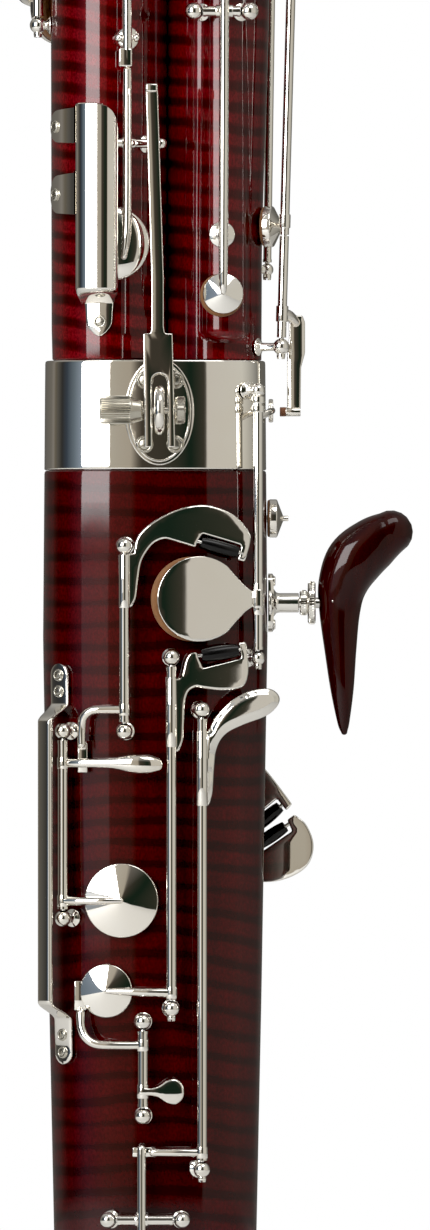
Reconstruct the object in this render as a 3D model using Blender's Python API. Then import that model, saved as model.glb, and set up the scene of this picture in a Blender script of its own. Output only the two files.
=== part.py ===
"""A bassoon of the German pattern, standing on its boot cap.

Numbers are millimetres until a mesh is stored, when MM turns them into metres.
+Z runs up the instrument, -Y faces the player (thumb keys) and +X is the tenor joint's side.
The origin is the middle of the boot cap's flat bottom.
"""

from math import atan2, cos, hypot, pi, radians, sin

import bmesh
import bpy
from mathutils import Matrix, Vector

MM = 0.001
GAP = 0.3

# Driving dimensions of the bodies
BOOT_TOP = 440.0
COLLAR_LOW = 399.0
CAP_TOP = 44.0
WOOD_LOW = 36.3
BOOT_WIDTHS = ((0, 35.0), (36, 36.4), (114, 38.2), (200, 40.0), (335, 42.3), (397, 41.8), (500, 41.8))
BOOT_DEPTH_RATIO = 0.64
BOOT_SQUARENESS = 2.6
LONG_X = -17.25
WING_X = 22.5
LONG_BODY = ((440.3, 21.6), (575, 21.9), (760, 21.0), (1030, 19.5))
WING_BODY = ((440.3, 22.5, 17.5), (480, 22.6, 17.6), (575, 24.0, 18.9), (640, 24.0, 18.8), (720, 23.0, 16.8),
             (884.7, 22.5, 14.0))
LAND_X, LAND_Y, LAND_R, LAND_LOW, LAND_HIGH = 29.4, -12.0, 10.0, 453.0, 620.0
BELL_BODY = ((1049.0, 22.6), (1064, 21.6), (1120, 24.2), (1180, 26.4), (1240, 25.0), (1300, 22.8), (1322, 24.5))
TENON_DEPTH = 35.0
LONG_TENON_R, LONG_SOCKET_R = 16.2, 16.6
WING_TENON_R, WING_SOCKET_R = 11.8, 12.2
LONG_BORE_R, WING_BORE_R = 11.5, 7.0
BELL_TOP = 1340.0

# Driving dimensions of the keywork
STAND = 6.5
TUBE_R, TUBE_BORE_R, AXLE_R = 1.95, 1.25, 0.85
BALL_R, STEM_R, FLANGE_R = 3.1, 1.6, 3.4
ARM_R = 1.6
PLATE = 1.8
END_PLAY = 0.4
ROLLER_BORE_R = 1.05

WOOD_RED, SILVER, NICKEL = "stained_maple", "silver_plate", "nickel_silver"
BLACK, IVORY, CANE = "roller_black", "bell_ring_white", "reed_cane"
MATERIALS = {
    WOOD_RED: ((0.16, 0.012, 0.014), 0.18, 0.0),
    SILVER: ((0.86, 0.85, 0.82), 0.12, 1.0),
    NICKEL: ((0.78, 0.76, 0.72), 0.18, 1.0),
    BLACK: ((0.012, 0.012, 0.013), 0.25, 0.0),
    IVORY: ((0.85, 0.83, 0.76), 0.3, 0.0),
    CANE: ((0.72, 0.52, 0.24), 0.6, 0.0),
}


def clear_scene():
    for ob in list(bpy.data.objects):
        bpy.data.objects.remove(ob)


def material(name):
    found = bpy.data.materials.get(name)
    if found:
        return found
    colour, rough, metal = MATERIALS[name]
    made = bpy.data.materials.new(name)
    made.use_nodes = True
    shader = made.node_tree.nodes["Principled BSDF"]
    shader.inputs["Base Color"].default_value = (*colour, 1.0)
    shader.inputs["Roughness"].default_value = rough
    shader.inputs["Metallic"].default_value = metal
    return made


# ---- shapes ----------------------------------------------------------------------------------

def store(bm):
    """Keeps a bmesh in millimetres as an object in metres."""
    bmesh.ops.recalc_face_normals(bm, faces=bm.faces)
    bmesh.ops.scale(bm, vec=(MM, MM, MM), verts=bm.verts)
    mesh = bpy.data.meshes.new("shape")
    bm.to_mesh(mesh)
    bm.free()
    ob = bpy.data.objects.new("shape", mesh)
    bpy.context.scene.collection.objects.link(ob)
    return ob


def side_axes(axis):
    """Two unit directions square to an axis."""
    along = Vector(axis).normalized()
    start = Vector((0, 0, 1)) if abs(along.z) < 0.9 else Vector((1, 0, 0))
    first = along.cross(start).normalized()
    return first, along.cross(first).normalized()


def circle(centre, axis, radius, count):
    first, second = side_axes(axis)
    turn = 2 * pi / count
    return [Vector(centre) + radius * (cos(i * turn) * first + sin(i * turn) * second) for i in range(count)]


def loft(rings, looped=False):
    """Skins rings of equal length; the ends are capped, or joined when looped."""
    bm = bmesh.new()
    rows = [[bm.verts.new(p) for p in ring] for ring in rings]
    pairs = list(zip(rows, rows[1:]))
    if looped:
        pairs.append((rows[-1], rows[0]))
    else:
        bm.faces.new(rows[0])
        bm.faces.new(rows[-1])
    for low, high in pairs:
        for i in range(len(low)):
            j = (i + 1) % len(low)
            bm.faces.new((low[i], low[j], high[j], high[i]))
    return store(bm)


def rod(start, end, radius, end_radius=None, count=8):
    axis = Vector(end) - Vector(start)
    return loft([circle(start, axis, radius, count), circle(end, axis, end_radius or radius, count)])


def pipe(start, end, outer, bore, count=8):
    """A straight tube with an open bore."""
    axis = Vector(end) - Vector(start)
    return loft([circle(start, axis, outer, count), circle(end, axis, outer, count),
                 circle(end, axis, bore, count), circle(start, axis, bore, count)], looped=True)


def lathe(profile, origin, axis, count=16):
    """Turns (radius, height) points about an axis; the profile starts and ends on the axis."""
    along = Vector(axis).normalized()
    bm = bmesh.new()
    rows = []
    for radius, height in profile:
        centre = Vector(origin) + height * along
        points = [centre] if radius == 0 else circle(centre, along, radius, count)
        rows.append([bm.verts.new(p) for p in points])
    for low, high in zip(rows, rows[1:]):
        for i in range(count):
            j = (i + 1) % count
            corners = [low[i % len(low)], low[j % len(low)], high[j % len(high)], high[i % len(high)]]
            bm.faces.new(list(dict.fromkeys(corners)))
    return store(bm)


def ball(centre, radius, count=8, rows=4):
    angles = [pi * i / rows for i in range(rows + 1)]
    profile = [(0 if i in (0, rows) else radius * sin(a), -radius * cos(a)) for i, a in enumerate(angles)]
    return lathe(profile, centre, (0, 0, 1), count)


def frames_along(points):
    """A square pair of side directions at each point, carried along without twist."""
    points = [Vector(p) for p in points]
    tangents = []
    for i in range(len(points)):
        before, after = points[max(i - 1, 0)], points[min(i + 1, len(points) - 1)]
        tangents.append((after - before).normalized())
    first = side_axes(tangents[0])[0]
    frames = []
    for tangent in tangents:
        first = (first - first.dot(tangent) * tangent).normalized()
        frames.append((first, tangent.cross(first)))
    return frames


def spread(values, count):
    """Reads a list of values off evenly at a number of places."""
    made = []
    for i in range(count):
        place = i * (len(values) - 1) / (count - 1)
        low = min(int(place), len(values) - 2)
        made.append(values[low] + (values[low + 1] - values[low]) * (place - low))
    return made


def sweep(points, radii, count=6, flatten=1.0):
    """A solid along a path, its radius one number or a list spread along it; flatten squeezes it along Y."""
    radii = spread(radii, len(points)) if hasattr(radii, "__len__") else [radii] * len(points)
    rings = []
    for point, radius, (first, second) in zip(points, radii, frames_along(points)):
        ring = []
        for i in range(count):
            a = 2 * pi * i / count
            offset = radius * (cos(a) * first + sin(a) * second)
            offset.y *= flatten
            ring.append(Vector(point) + offset)
        rings.append(ring)
    return loft(rings)


def hollow_sweep(points, outer, bore, count=10):
    """A bent tube, open at both ends; outer and bore are radii at each point."""
    frames = frames_along(points)
    rows = []
    for radii, order in ((outer, 1), (bore, -1)):
        wall = []
        for point, radius, (first, second) in zip(points, radii, frames):
            turn = 2 * pi / count
            wall.append([Vector(point) + radius * (cos(i * turn) * first + sin(i * turn) * second)
                         for i in range(count)])
        rows += wall[::order]
    return loft(rows, looped=True)


def smooth(points, steps=2):
    """A Catmull-Rom curve through points; a point with a third entry in an outline is a sharp corner."""
    made = []
    total = len(points)
    for i in range(total):
        p0, p1, p2, p3 = (points[(i + k) % total] for k in (-1, 0, 1, 2))
        a, b = Vector(p1[:2]), Vector(p2[:2])
        before = a if len(p1) > 2 else Vector(p0[:2])
        after = b if len(p2) > 2 else Vector(p3[:2])
        straight = len(p1) > 2 and len(p2) > 2
        for s in range(1 if straight else steps):
            t = s / steps
            made.append(0.5 * (2 * a + (b - before) * t + (2 * before - 5 * a + 4 * b - after) * t * t
                               + (3 * a - before - 3 * b + after) * t ** 3))
    return made


def path(points, steps=2):
    """A smooth open path through space points."""
    made = []
    points = [Vector(p) for p in points]
    for i in range(len(points) - 1):
        a, b = points[i], points[i + 1]
        before, after = points[max(i - 1, 0)], points[min(i + 2, len(points) - 1)]
        for s in range(steps):
            t = s / steps
            made.append(0.5 * (2 * a + (b - before) * t + (2 * before - 5 * a + 4 * b - after) * t * t
                               + (3 * a - before - 3 * b + after) * t ** 3))
    return made + [points[-1]]


def plate(outline, thickness, hinge, lean=0.0, lift=0.0):
    """An outline in X and Z, thickened in Y, leaning back from a vertical hinge line by an angle in degrees.

    hinge is the (x, y) of the line; lift moves the plate towards the reader before it leans.
    """
    hinge_x, hinge_y = hinge
    slope = sin(radians(lean))
    bm = bmesh.new()
    front, back = [], []
    for x, z in outline:
        y = hinge_y - lift + (x - hinge_x) * slope
        front.append(bm.verts.new((x, y - thickness / 2, z)))
        back.append(bm.verts.new((x, y + thickness / 2, z)))
    bm.faces.new(front)
    bm.faces.new(back)
    for i in range(len(front)):
        j = (i + 1) % len(front)
        bm.faces.new((front[i], front[j], back[j], back[i]))
    return store(bm)


def block(low, high):
    """A plain box between two corners."""
    (x0, y0, z0), (x1, y1, z1) = low, high
    return loft([[(x0, y0, z), (x1, y0, z), (x1, y1, z), (x0, y1, z)] for z in (z0, z1)])


def cup(centre, normal, radius, rim=2.2, rise=2.4, count=14):
    """A pad cup with a coned top; centre is the middle of its pad's face."""
    profile = ((0, 0), (radius - 0.8, 0), (radius, 0.9), (radius, rim), (0, rim + rise))
    return lathe(profile, centre, normal, count)


def union(name, parts, slot, cutters=(), pivot=(0, 0, 0)):
    """Joins overlapping shapes into one closed body, cuts it, and puts its origin on the pivot."""
    body, others = parts[0], [(p, "UNION") for p in parts[1:]] + [(c, "DIFFERENCE") for c in cutters]
    for other, operation in others:
        change = body.modifiers.new(operation, "BOOLEAN")
        change.operation = operation
        change.object = other
    graph = bpy.context.evaluated_depsgraph_get()
    mesh = bpy.data.meshes.new_from_object(body.evaluated_get(graph))
    body.modifiers.clear()
    body.data = mesh
    for other, _ in others:
        bpy.data.objects.remove(other)
    origin = Vector(pivot) * MM
    mesh.transform(Matrix.Translation(-origin))
    body.location = origin
    body.name = name
    mesh.name = name
    mesh.materials.clear()
    mesh.materials.append(material(slot))
    mesh.shade_smooth()
    mesh.set_sharp_from_angle(angle=radians(35))
    return body


# ---- the wooden bodies' surfaces, which carry the posts -------------------------------------------

def between(rows, z):
    """Interpolates the later columns of rows by their first."""
    for low, high in zip(rows, rows[1:]):
        if z <= high[0]:
            share = max(0.0, (z - low[0]) / (high[0] - low[0]))
            return [a + (b - a) * share for a, b in zip(low[1:], high[1:])]
    return list(rows[-1][1:])


def boot_section(z, inset=0.0, count=32):
    """The boot's rounded oblong outline at a height."""
    a = between(BOOT_WIDTHS, z)[0]
    b = a * BOOT_DEPTH_RATIO - inset
    a -= inset
    power = 2 / BOOT_SQUARENESS
    ring = []
    for i in range(count):
        c, s = cos(2 * pi * i / count), sin(2 * pi * i / count)
        ring.append(Vector((a * abs(c) ** power * (1 if c > 0 else -1), b * abs(s) ** power * (1 if s > 0 else -1), z)))
    return ring


def boot_foot(point):
    """The place on the boot's surface under a point that stands off it."""
    x, y, z = point
    a = between(BOOT_WIDTHS, z)[0]
    b = a * BOOT_DEPTH_RATIO
    n = BOOT_SQUARENESS
    best = None
    for i in range(721):
        t = 2 * pi * i / 720
        c, s = cos(t), sin(t)
        foot = (a * abs(c) ** (2 / n) * (1 if c > 0 else -1), b * abs(s) ** (2 / n) * (1 if s > 0 else -1))
        away = hypot(foot[0] - x, foot[1] - y)
        if best is None or away < best[0]:
            best = (away, foot)
    return Vector((best[1][0], best[1][1], z))


def round_foot(point, centre_x, radius):
    away = Vector((point[0] - centre_x, point[1]))
    away.normalize()
    return Vector((centre_x + radius * away.x, radius * away.y, point[2]))


def wing_foot(point):
    """Walks in from a point until it meets the wing joint's round body or its raised land."""
    x, y, z = point
    centre_x, radius = between(WING_BODY, z)
    rounds = [(centre_x, 0.0, radius)]
    if LAND_LOW < z < LAND_HIGH:
        rounds.append((LAND_X, LAND_Y, LAND_R))
    away = Vector((x - centre_x, y))
    reach = away.length
    while reach > 0:
        here = Vector((centre_x, 0)) + away.normalized() * reach
        if any(hypot(here.x - cx, here.y - cy) <= r for cx, cy, r in rounds):
            break
        reach -= 0.05
    return Vector((here.x, here.y, z))


def long_foot(point):
    return round_foot(point, LONG_X, between(LONG_BODY, point[2])[0])


def bell_foot(point):
    return round_foot(point, LONG_X, between(BELL_BODY, point[2])[0])


# ---- key parts -----------------------------------------------------------------------------------

def post(point, foot, ball_radius=BALL_R):
    """A ball-headed post from the wood to an axle's end."""
    point = Vector(point)
    out = (point - foot).normalized()
    reach = (point - foot).length
    profile = ((0, GAP), (FLANGE_R, GAP), (FLANGE_R, GAP + 0.8), (STEM_R, GAP + 1.2), (STEM_R, reach - 0.5), (0, reach - 0.5))
    return [ball(point, ball_radius), lathe(profile, foot, out, 6)]


def axle(name, low, high, foot_of, screw_end=None, balls=(BALL_R, BALL_R)):
    """Two ball posts and the steel rod that a key's tube turns on."""
    low, high = Vector(low), Vector(high)
    along = (high - low).normalized()
    parts = [rod(low - along, high + along, AXLE_R, count=6)]
    for point, radius in zip((low, high), balls):
        parts += post(point, foot_of(point), radius)
    if screw_end is not None:
        end, out = (low, -along) if screw_end == "low" else (high, along)
        parts.append(rod(end + out * (balls[0] - 0.8), end + out * (balls[0] + 1.5), 1.6))
    return union(name, parts, SILVER, pivot=low)


def hinge(low, high, radius=TUBE_R, balls=(BALL_R, BALL_R)):
    """The tube of a key, between its two ball posts."""
    low, high = Vector(low), Vector(high)
    along = (high - low).normalized()
    return pipe(low + along * (balls[0] + END_PLAY), high - along * (balls[1] + END_PLAY), radius, TUBE_BORE_R)


def key(name, parts, low, high, slot=SILVER, extra_cut=()):
    """Joins a key's pieces, clears its tube's bore again, and puts its origin on the axle."""
    low, high = Vector(low), Vector(high)
    along = (high - low).normalized()
    bore = rod(low - along * 8, high + along * 8, TUBE_BORE_R)
    return union(name, parts, slot, cutters=[bore, *extra_cut], pivot=low)


# ---- bodies --------------------------------------------------------------------------------------

def bodies():
    wood = [boot_section(WOOD_LOW, 1.7), boot_section(CAP_TOP + GAP, 1.7), boot_section(CAP_TOP + GAP)]
    wood += [boot_section(z) for z in (114, 200, 270, 335, COLLAR_LOW - GAP)]
    wood += [boot_section(COLLAR_LOW - GAP, 1.7), boot_section(BOOT_TOP - GAP, 1.7)]
    bores = [rod((LONG_X, 0, 20), (LONG_X, 0, 420), LONG_BORE_R, count=20),
             rod((WING_X, 0, 20), (WING_X, 0, 420), WING_BORE_R + 1, count=20),
             rod((LONG_X, 0, BOOT_TOP - TENON_DEPTH - 0.5), (LONG_X, 0, 460), LONG_SOCKET_R, count=24),
             rod((WING_X, 0, BOOT_TOP - TENON_DEPTH - 0.5), (WING_X, 0, 460), WING_SOCKET_R, count=24)]
    bores += [rod((20, 4, z + 4), (4, 40, z), 3.6, count=12) for z in (346, 374)]
    union("boot_body", [loft(wood)], WOOD_RED, cutters=bores)

    # The collar is a thin band, let into the wood, and turns in over the top edge.
    collar = [boot_section(COLLAR_LOW, 0.1), boot_section(COLLAR_LOW + 2, 0.0), boot_section(BOOT_TOP - 1.5, 0.3),
              boot_section(BOOT_TOP, 0.8), boot_section(BOOT_TOP, 1.4), boot_section(COLLAR_LOW, 1.4)]
    union("boot_collar", [loft(collar, looped=True)], SILVER)

    cap_rings = [(0, 4.0), (1.2, 1.4), (4, 0.3), (10, 0.0), (38, -0.2), (40, -0.9), (42, -0.9), (CAP_TOP, -0.2)]
    shell = loft([boot_section(z, inset) for z, inset in cap_rings])
    hollow = loft([boot_section(z, inset) for z, inset in ((2.2, 5.0), (6, 1.4), (60, 1.35))])
    union("boot_cap", [shell], SILVER, cutters=[hollow])

    bend_r = (WING_X - LONG_X) / 2
    middle = (WING_X + LONG_X) / 2
    bend = [(LONG_X, 0, 35.9)]
    bend += [(middle - bend_r * cos(pi * i / 8), 0, 33.0 - bend_r * 0.85 * sin(pi * i / 8)) for i in range(9)]
    bend += [(WING_X, 0, 35.9)]
    bores = [8.6, 8.6, 8.5, 8.4, 8.3, 8.2, 8.2, 8.1, 8.0, 8.0, 8.0]
    union("u_bend", [hollow_sweep(bend, [r + 1.0 for r in bores], bores)], NICKEL)


def joints():
    rings = [circle((LONG_X, 0, z), (0, 0, 1), r, 24) for z, r in (
        (BOOT_TOP - TENON_DEPTH, LONG_TENON_R), (BOOT_TOP + GAP, LONG_TENON_R), *LONG_BODY, (1030, 16.0), (1062, 16.0))]
    bore = rod((LONG_X, 0, 400), (LONG_X, 0, 1070), LONG_BORE_R, 14.0, 20)
    union("long_joint", [loft(rings)], WOOD_RED, cutters=[bore])

    body = [circle((x, 0, z), (0, 0, 1), r, 24) for z, x, r in (
        (BOOT_TOP - TENON_DEPTH, WING_X, WING_TENON_R), (BOOT_TOP + GAP, WING_X, WING_TENON_R), *WING_BODY,
        (884.7, WING_X, 11.0), (896, WING_X, 11.0))]
    # The thumb side's raised land, which ends in a round foot above the boot, and the finger-hole wing.
    land = sweep(path([(LAND_X, -3, 449), (LAND_X, -9.5, LAND_LOW), (LAND_X, LAND_Y, 470), (LAND_X, LAND_Y, 560),
                       (LAND_X, -10, LAND_HIGH), (27, -4, 650)]), [2, 9, LAND_R, LAND_R, LAND_R, 9, 3], 12)
    wing = sweep(path([(23, 4, 560), (22, 13, 600), (20, 18, 680), (19, 18, 780), (22, 8, 850)]),
                 [3, 10, 13, 13, 13, 9, 5], 12)
    bore = rod((WING_X, 0, 400), (WING_X, 0, 900), WING_BORE_R, 5.8, 16)
    holes = [rod((20 - 2 * i, 14, z), (20 - 2 * i, 40, z), 3.2, count=12) for i, z in enumerate((640, 705, 770))]
    union("wing_joint", [loft(body), land, wing], WOOD_RED, cutters=[bore, *holes])
    union("wing_socket_ring", [pipe((WING_X, 0, 885.0), (WING_X, 0, 904), 14.6, 11.4, 24)], SILVER)

    outer = [(1030.4, 24.0), (1049, 23.4), *BELL_BODY]
    inner = [(1324, 19.5), (1200, 18.5), (1064.5, 15.2), (1064.5, 16.4), (1030.4, 16.4)]
    rings = [circle((LONG_X, 0, z), (0, 0, 1), r, 24) for z, r in outer + [(1324, 24.5)] + inner]
    union("bell", [loft(rings, looped=True)], WOOD_RED)
    rim = ((1324.3, 24.6), (1326, 26.6), (1331, 27.6), (1336, 27.4), (1339, 26.0), (BELL_TOP, 24.0), (BELL_TOP, 21.0),
           (1338, 19.9), (1324.3, 19.6))
    union("bell_rim", [loft([circle((LONG_X, 0, z), (0, 0, 1), r, 24) for z, r in rim], looped=True)], IVORY)


def bocal():
    bend = path([(WING_X, 0, 872), (WING_X, 0, 935), (WING_X, -8, 962), (WING_X, -32, 985), (22, -70, 996), (21, -110, 992),
                 (19, -150, 975), (17, -184, 956), (16, -208, 950.2), (16, -222, 949.9)])
    outer = spread([4.6, 2.6], len(bend))
    # The vent nib, which the whisper key closes, stands on the wall.
    side = Vector((0.47, -0.88, 0))
    nib = rod(Vector((WING_X, 0, 917)) + side * 3.9, Vector((WING_X, 0, 917)) + side * 6.6, 1.5)
    union("bocal", [hollow_sweep(bend, outer, [r - 0.7 for r in outer], 8), nib], NICKEL, pivot=(WING_X, 0, 900))
    # A double reed: a wrapped round throat that flattens into the blades.
    rings = []
    for along, wide, thick in ((-10, 3.7, 3.7), (4, 3.9, 3.9), (10, 4.2, 3.6), (16, 5.2, 2.8), (32, 7.4, 1.2), (38, 7.4, 0.7)):
        rings.append([(16 + wide * cos(2 * pi * i / 14), -222 - along, 949.9 + thick * sin(2 * pi * i / 14))
                      for i in range(14)])
    throat = rod((16, -200, 949.9), (16, -238, 949.9), 3.15, count=10)
    union("reed", [loft(rings)], CANE, cutters=[throat])


def strap_and_hanger():
    # The strap plate is an oval let on to the collar, with its four screw heads and the ring.
    oval = [(1.7 + 13 * cos(2 * pi * i / 28), 420.5 + 20 * sin(2 * pi * i / 28)) for i in range(24)]
    face = -boot_section(420)[0].x * BOOT_DEPTH_RATIO
    parts = [plate(oval, 1.2, (0, face - 0.9))]
    parts += [rod((x, face - 1.2, z), (x, face - 2.3, z), 3.3, count=12) for x in (-3.8, 7.7) for z in (408.3, 432.3)]
    ring = []
    for i in range(16):
        a = 2 * pi * i / 16
        out = Vector((0, sin(a), cos(a)))
        middle = Vector((1.8, face - 9.6, 421)) + 7.2 * out
        ring.append([middle + 1.9 * (cos(2 * pi * k / 8) * out + sin(2 * pi * k / 8) * Vector((1, 0, 0))) for k in range(8)])
    parts.append(loft(ring, looped=True))
    union("strap_ring_plate", parts, SILVER)

    # The balance hanger straddles the ring and reaches up the joints.
    screw_y, screw_z = face - 9.0, 421.0
    arm = [(-4.4, 449.5), (-1.3, 449.5), (-1.3, 470), (-3.4, 541), (1.1, 543), (3.4, 470), (3.4, 449.5), (6.7, 449.5),
           (7.6, 407), (5.0, 407), (4.7, 428), (3.4, 433.6), (0.4, 433.6), (-1.0, 428), (-1.0, 407), (-3.7, 407)]
    bar = plate(arm, 2.6, (0, screw_y - 0.6))
    hook = block((-3.4, screw_y - 7.5, 539.5), (1.1, screw_y - 0.6, 542.5))
    eyes = [rod((x0, screw_y, screw_z), (x1, screw_y, screw_z), 3.4, count=12) for x0, x1 in ((-3.7, -1.2), (5.0, 7.7))]
    hole = rod((-10, screw_y, screw_z), (14, screw_y, screw_z), 1.7, count=12)
    union("hanger_arm", [bar, hook, *eyes], SILVER, cutters=[hole], pivot=(1.8, screw_y, screw_z))
    knurl = lathe(((0, -20.2), (4.8, -20.2), (5.2, -19.6), (5.2, -8.4), (4.2, -7.6), (3.6, -4.2), (1.3, -4.1), (1.3, 9.6),
                   (0, 9.6)), (0, screw_y, screw_z), (1, 0, 0), 16)
    nut = lathe(((0, 8.1), (4.4, 8.1), (4.6, 9), (4.6, 11), (4.0, 11.8), (0, 11.8)), (0, screw_y, screw_z), (1, 0, 0), 12)
    union("hanger_screw", [knurl, nut], SILVER, pivot=(0, screw_y, screw_z))


def guards():
    # A half-round guard over the low pad on the long joint, with two feet at its left and one below.
    centre_x, base_y, width, depth = -21.6, -31.2, 8.1, 5.6
    z_low, z_high, drop, wall = 467.0, 535.8, 13.0, 1.0
    count = 12
    strips = []
    for i in range(count + 1):
        a = pi * i / count
        top = z_high - drop * max(0.0, (i - count / 2) / (count / 2)) ** 3
        outer = Vector((centre_x - width * cos(a), base_y - depth * sin(a), 0))
        inner = Vector((centre_x - (width - wall) * cos(a), base_y - (depth - wall) * sin(a), 0))
        strips.append([(outer.x, outer.y, z_low), (outer.x, outer.y, top), (inner.x, inner.y, top), (inner.x, inner.y, z_low)])
    shell = loft(strips)
    end_wall = loft([[(centre_x - width * cos(pi * i / 8), base_y - depth * sin(pi * i / 8), z) for i in range(9)]
                     + [(centre_x + width - 1, -22.0, z), (centre_x - width + 1, -20.0, z)] for z in (465.8, 467.6)])
    foot = block((-26.2, -23.4, 454), (-15.6, -18.0, 466.6))
    toe = rod((-20.9, -23.4, 454), (-20.9, -18.0, 454), 5.3, count=16)
    parts = [shell, end_wall, foot, toe]
    for z_mid in (528, 502.3):
        inner_end = Vector((centre_x - width + 0.6, base_y + 0.2, 0))
        tab = []
        for x, y in ((inner_end.x, inner_end.y), (-31.4, -19.0), (-36.2, -13.2), (-39.4, -6.6)):
            out = Vector((x - LONG_X, y)).normalized()
            tab.append([(x, y, z_mid - 6), (x, y, z_mid + 6), (x + out.x * 1.3, y + out.y * 1.3, z_mid + 6),
                        (x + out.x * 1.3, y + out.y * 1.3, z_mid - 6)])
        parts.append(loft(tab))
    clear = rod((LONG_X, 0, 440), (LONG_X, 0, 560), 22.2, count=48)
    union("pad_guard", parts, SILVER, cutters=[clear])

    # The long bar that shields the hinge at the boot's left edge.
    def bar(points, wide, thick):
        """A strap along points (x, y, z): wide in the strap's own plane, thick outwards."""
        rings = []
        for x, y, z in points:
            out = Vector((-0.80, -0.60, 0))
            side = Vector((0.60, -0.80, 0))
            centre = Vector((x, y, z))
            rings.append([centre + out * s * thick / 2 + side * t * wide / 2 for s, t in ((-1, -1), (1, -1), (1, 1), (-1, 1))])
        return loft(rings)

    strap = bar([(-37.4, -25.5, 313), (-40.6, -28.3, 308), (-41.4, -29.0, 300), (-41.6, -29.0, 250), (-41.4, -28.6, 200),
                 (-40.4, -27.6, 194), (-36.9, -24.9, 191)], 5.6, 1.8)
    feet = []
    for z_low, z_high, hole_low in ((310.4, 325.5, 312), (175.5, 194, 176)):
        foot_out = boot_foot((-34, -28, (z_low + z_high) / 2))
        out = (Vector((-34, -28, foot_out.z)) - foot_out).normalized()
        side = Vector((out.y, -out.x, 0))
        if side.x < 0:
            side = -side
        rings = []
        for z, half in ((z_low, 2.4), (z_low + 1.5, 3.1), (z_high - 1.5, 3.1), (z_high, 2.4)):
            base = Vector((foot_out.x, foot_out.y, z)) + out * 0.75
            rings.append([base - side * half, base + side * half, base + side * half + out * 1.5, base - side * half + out * 1.5])
        feet.append(loft(rings))
        link_z = 311.5 if z_low > 250 else 192.5
        feet.append(sweep([(foot_out.x - 0.8, foot_out.y - 1.2, link_z), (-37.6, -25.6, link_z + (0.8 if z_low > 250 else -0.8))],
                          1.7, 8))
    clear = loft([boot_section(z, -0.32, 72) for z in (150, 200, 335, 350)])
    union("key_guard", [strap, *feet], SILVER, cutters=[clear])


def hand_rest():
    z = 349.0
    side = boot_foot((60, 0, z)).x
    flange = lathe(((0, 0.4), (6.0, 0.4), (6.0, 2.2), (4.2, 3.0), (3.7, 3.6), (3.7, 11.9), (0, 11.9)), (side, 0, z), (1, 0, 0), 16)
    wings = loft([[(side + 0.4, -4.5, z + dz), (side + 2.2, -4.5, z + dz), (side + 2.2, 4.5, z + dz), (side + 0.4, 4.5, z + dz)]
                  for dz in (-10.5, 10.5)])
    bore = rod((side + 4, 0, z), (side + 20, 0, z), 2.4, count=14)
    union("hand_rest_socket", [flange, wings], SILVER, cutters=[bore])
    start = side + 12.2
    nut = lathe(((0, 0), (4.6, 0), (4.6, 3.0), (8.2, 3.2), (8.2, 6.0), (0, 6.0)), (start, 0, z), (1, 0, 0), 24)
    hole = rod((start - 1, 0, z), (start + 10, 0, z), 2.4, count=14)
    union("hand_rest_nut", [nut], SILVER, cutters=[hole], pivot=(start, 0, z))
    centres = path([(71.2, 0, 299.4), (70.9, 0, 304), (70.4, 0, 316.5), (69.8, 0, 331), (69.5, 0, 345.5), (70.6, 0, 355.5),
                    (75.0, 0, 364.8), (82.6, 0, 371.6), (88.8, 0, 375.6), (93.1, 0, 378.1), (95.6, 0, 379.5)], 2)
    radii = [0.8, 2.3, 4.4, 6.0, 7.7, 9.3, 10.8, 10.0, 8.3, 6.6, 2.8]
    rest = sweep(centres, radii, 14, flatten=0.82)
    stem = rod((side + 5, 0, z), (70, 0, z), 2.0, count=12)
    union("hand_rest", [rest, stem], WOOD_RED, pivot=(start, 0, z))


# ---- thumb keys on the boot's back ------------------------------------------------------------------

LOW_E = ((38.6, -24.0, 328.3), (38.6, -24.0, 428.6))
B_FLAT = ((-11.4, -33.1, 300.9), (-11.4, -33.1, 370.3))
F_SHARP = ((6.2, -33.0, 197.2), (6.2, -33.0, 328.6))
G_SHARP = ((17.6, -32.0, 137.0), (17.6, -32.0, 309.0))
PAD_KEY = ((-34.4, -26.2, 230.8), (-34.4, -26.2, 301.0))
TRILL = ((-4.5, -31.8, 157.0), (-4.5, -31.8, 192.3))
ROCKER = ((-17.5, -30.0, 118.0), (10.2, -30.0, 118.0))
SMALL_BALL = 2.7
LEVER_BALL = 2.2


def roller(name, start, end, radius=2.6):
    """A barrel roller, bored through for its pin."""
    start, end = Vector(start), Vector(end)
    length = (end - start).length
    along = (end - start) / length
    barrel = [(0, 0), (radius * 0.8, 0), (radius, length * 0.3), (radius, length * 0.7), (radius * 0.8, length), (0, length)]
    hole = rod(start - along * 2, end + along * 2, ROLLER_BORE_R)
    union(name, [lathe(barrel, start, along, 12)], BLACK, cutters=[hole], pivot=start)


def roller_pin(start, end):
    """The key's own pin, which reaches past both ends of its roller."""
    start, end = Vector(start), Vector(end)
    along = (end - start).normalized()
    return rod(start - along * 2.2, end + along * 2.2, 0.7, count=6)


def low_e():
    low, high = LOW_E
    axle("low_e_axle", low, high, boot_foot, "low", (SMALL_BALL, SMALL_BALL))
    centre = Vector((16.9, 350.4))
    arc = [(centre.x + 16 * cos(radians(a)), centre.y + 16 * sin(radians(a))) for a in range(52, 309, 16)]
    pancake = arc + [(32.2, 342.6), (37.4, 347.2), (38.4, 347.6), (38.4, 353.2), (37.4, 353.6), (32.2, 358.2)]
    top = plate(pancake, 1.6, low[:2], lean=17, lift=2.0)
    saddle = block((36.9, -26.4, 345.5), (40.3, -24.2, 355.5))
    arm = sweep(path([(39.2, -23, 418.6), (42.4, -18.5, 420.2), (43.6, -11, 421.2), (43.9, -6, 421.3)]), 1.3)
    button = rod((42.7, -4.0, 421.3), (44.4, -4.0, 421.3), 4.4, count=14)
    balls = (SMALL_BALL, SMALL_BALL)
    key("low_e_key", [hinge(low, high, balls=balls), top, saddle, arm, button], low, high)


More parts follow.
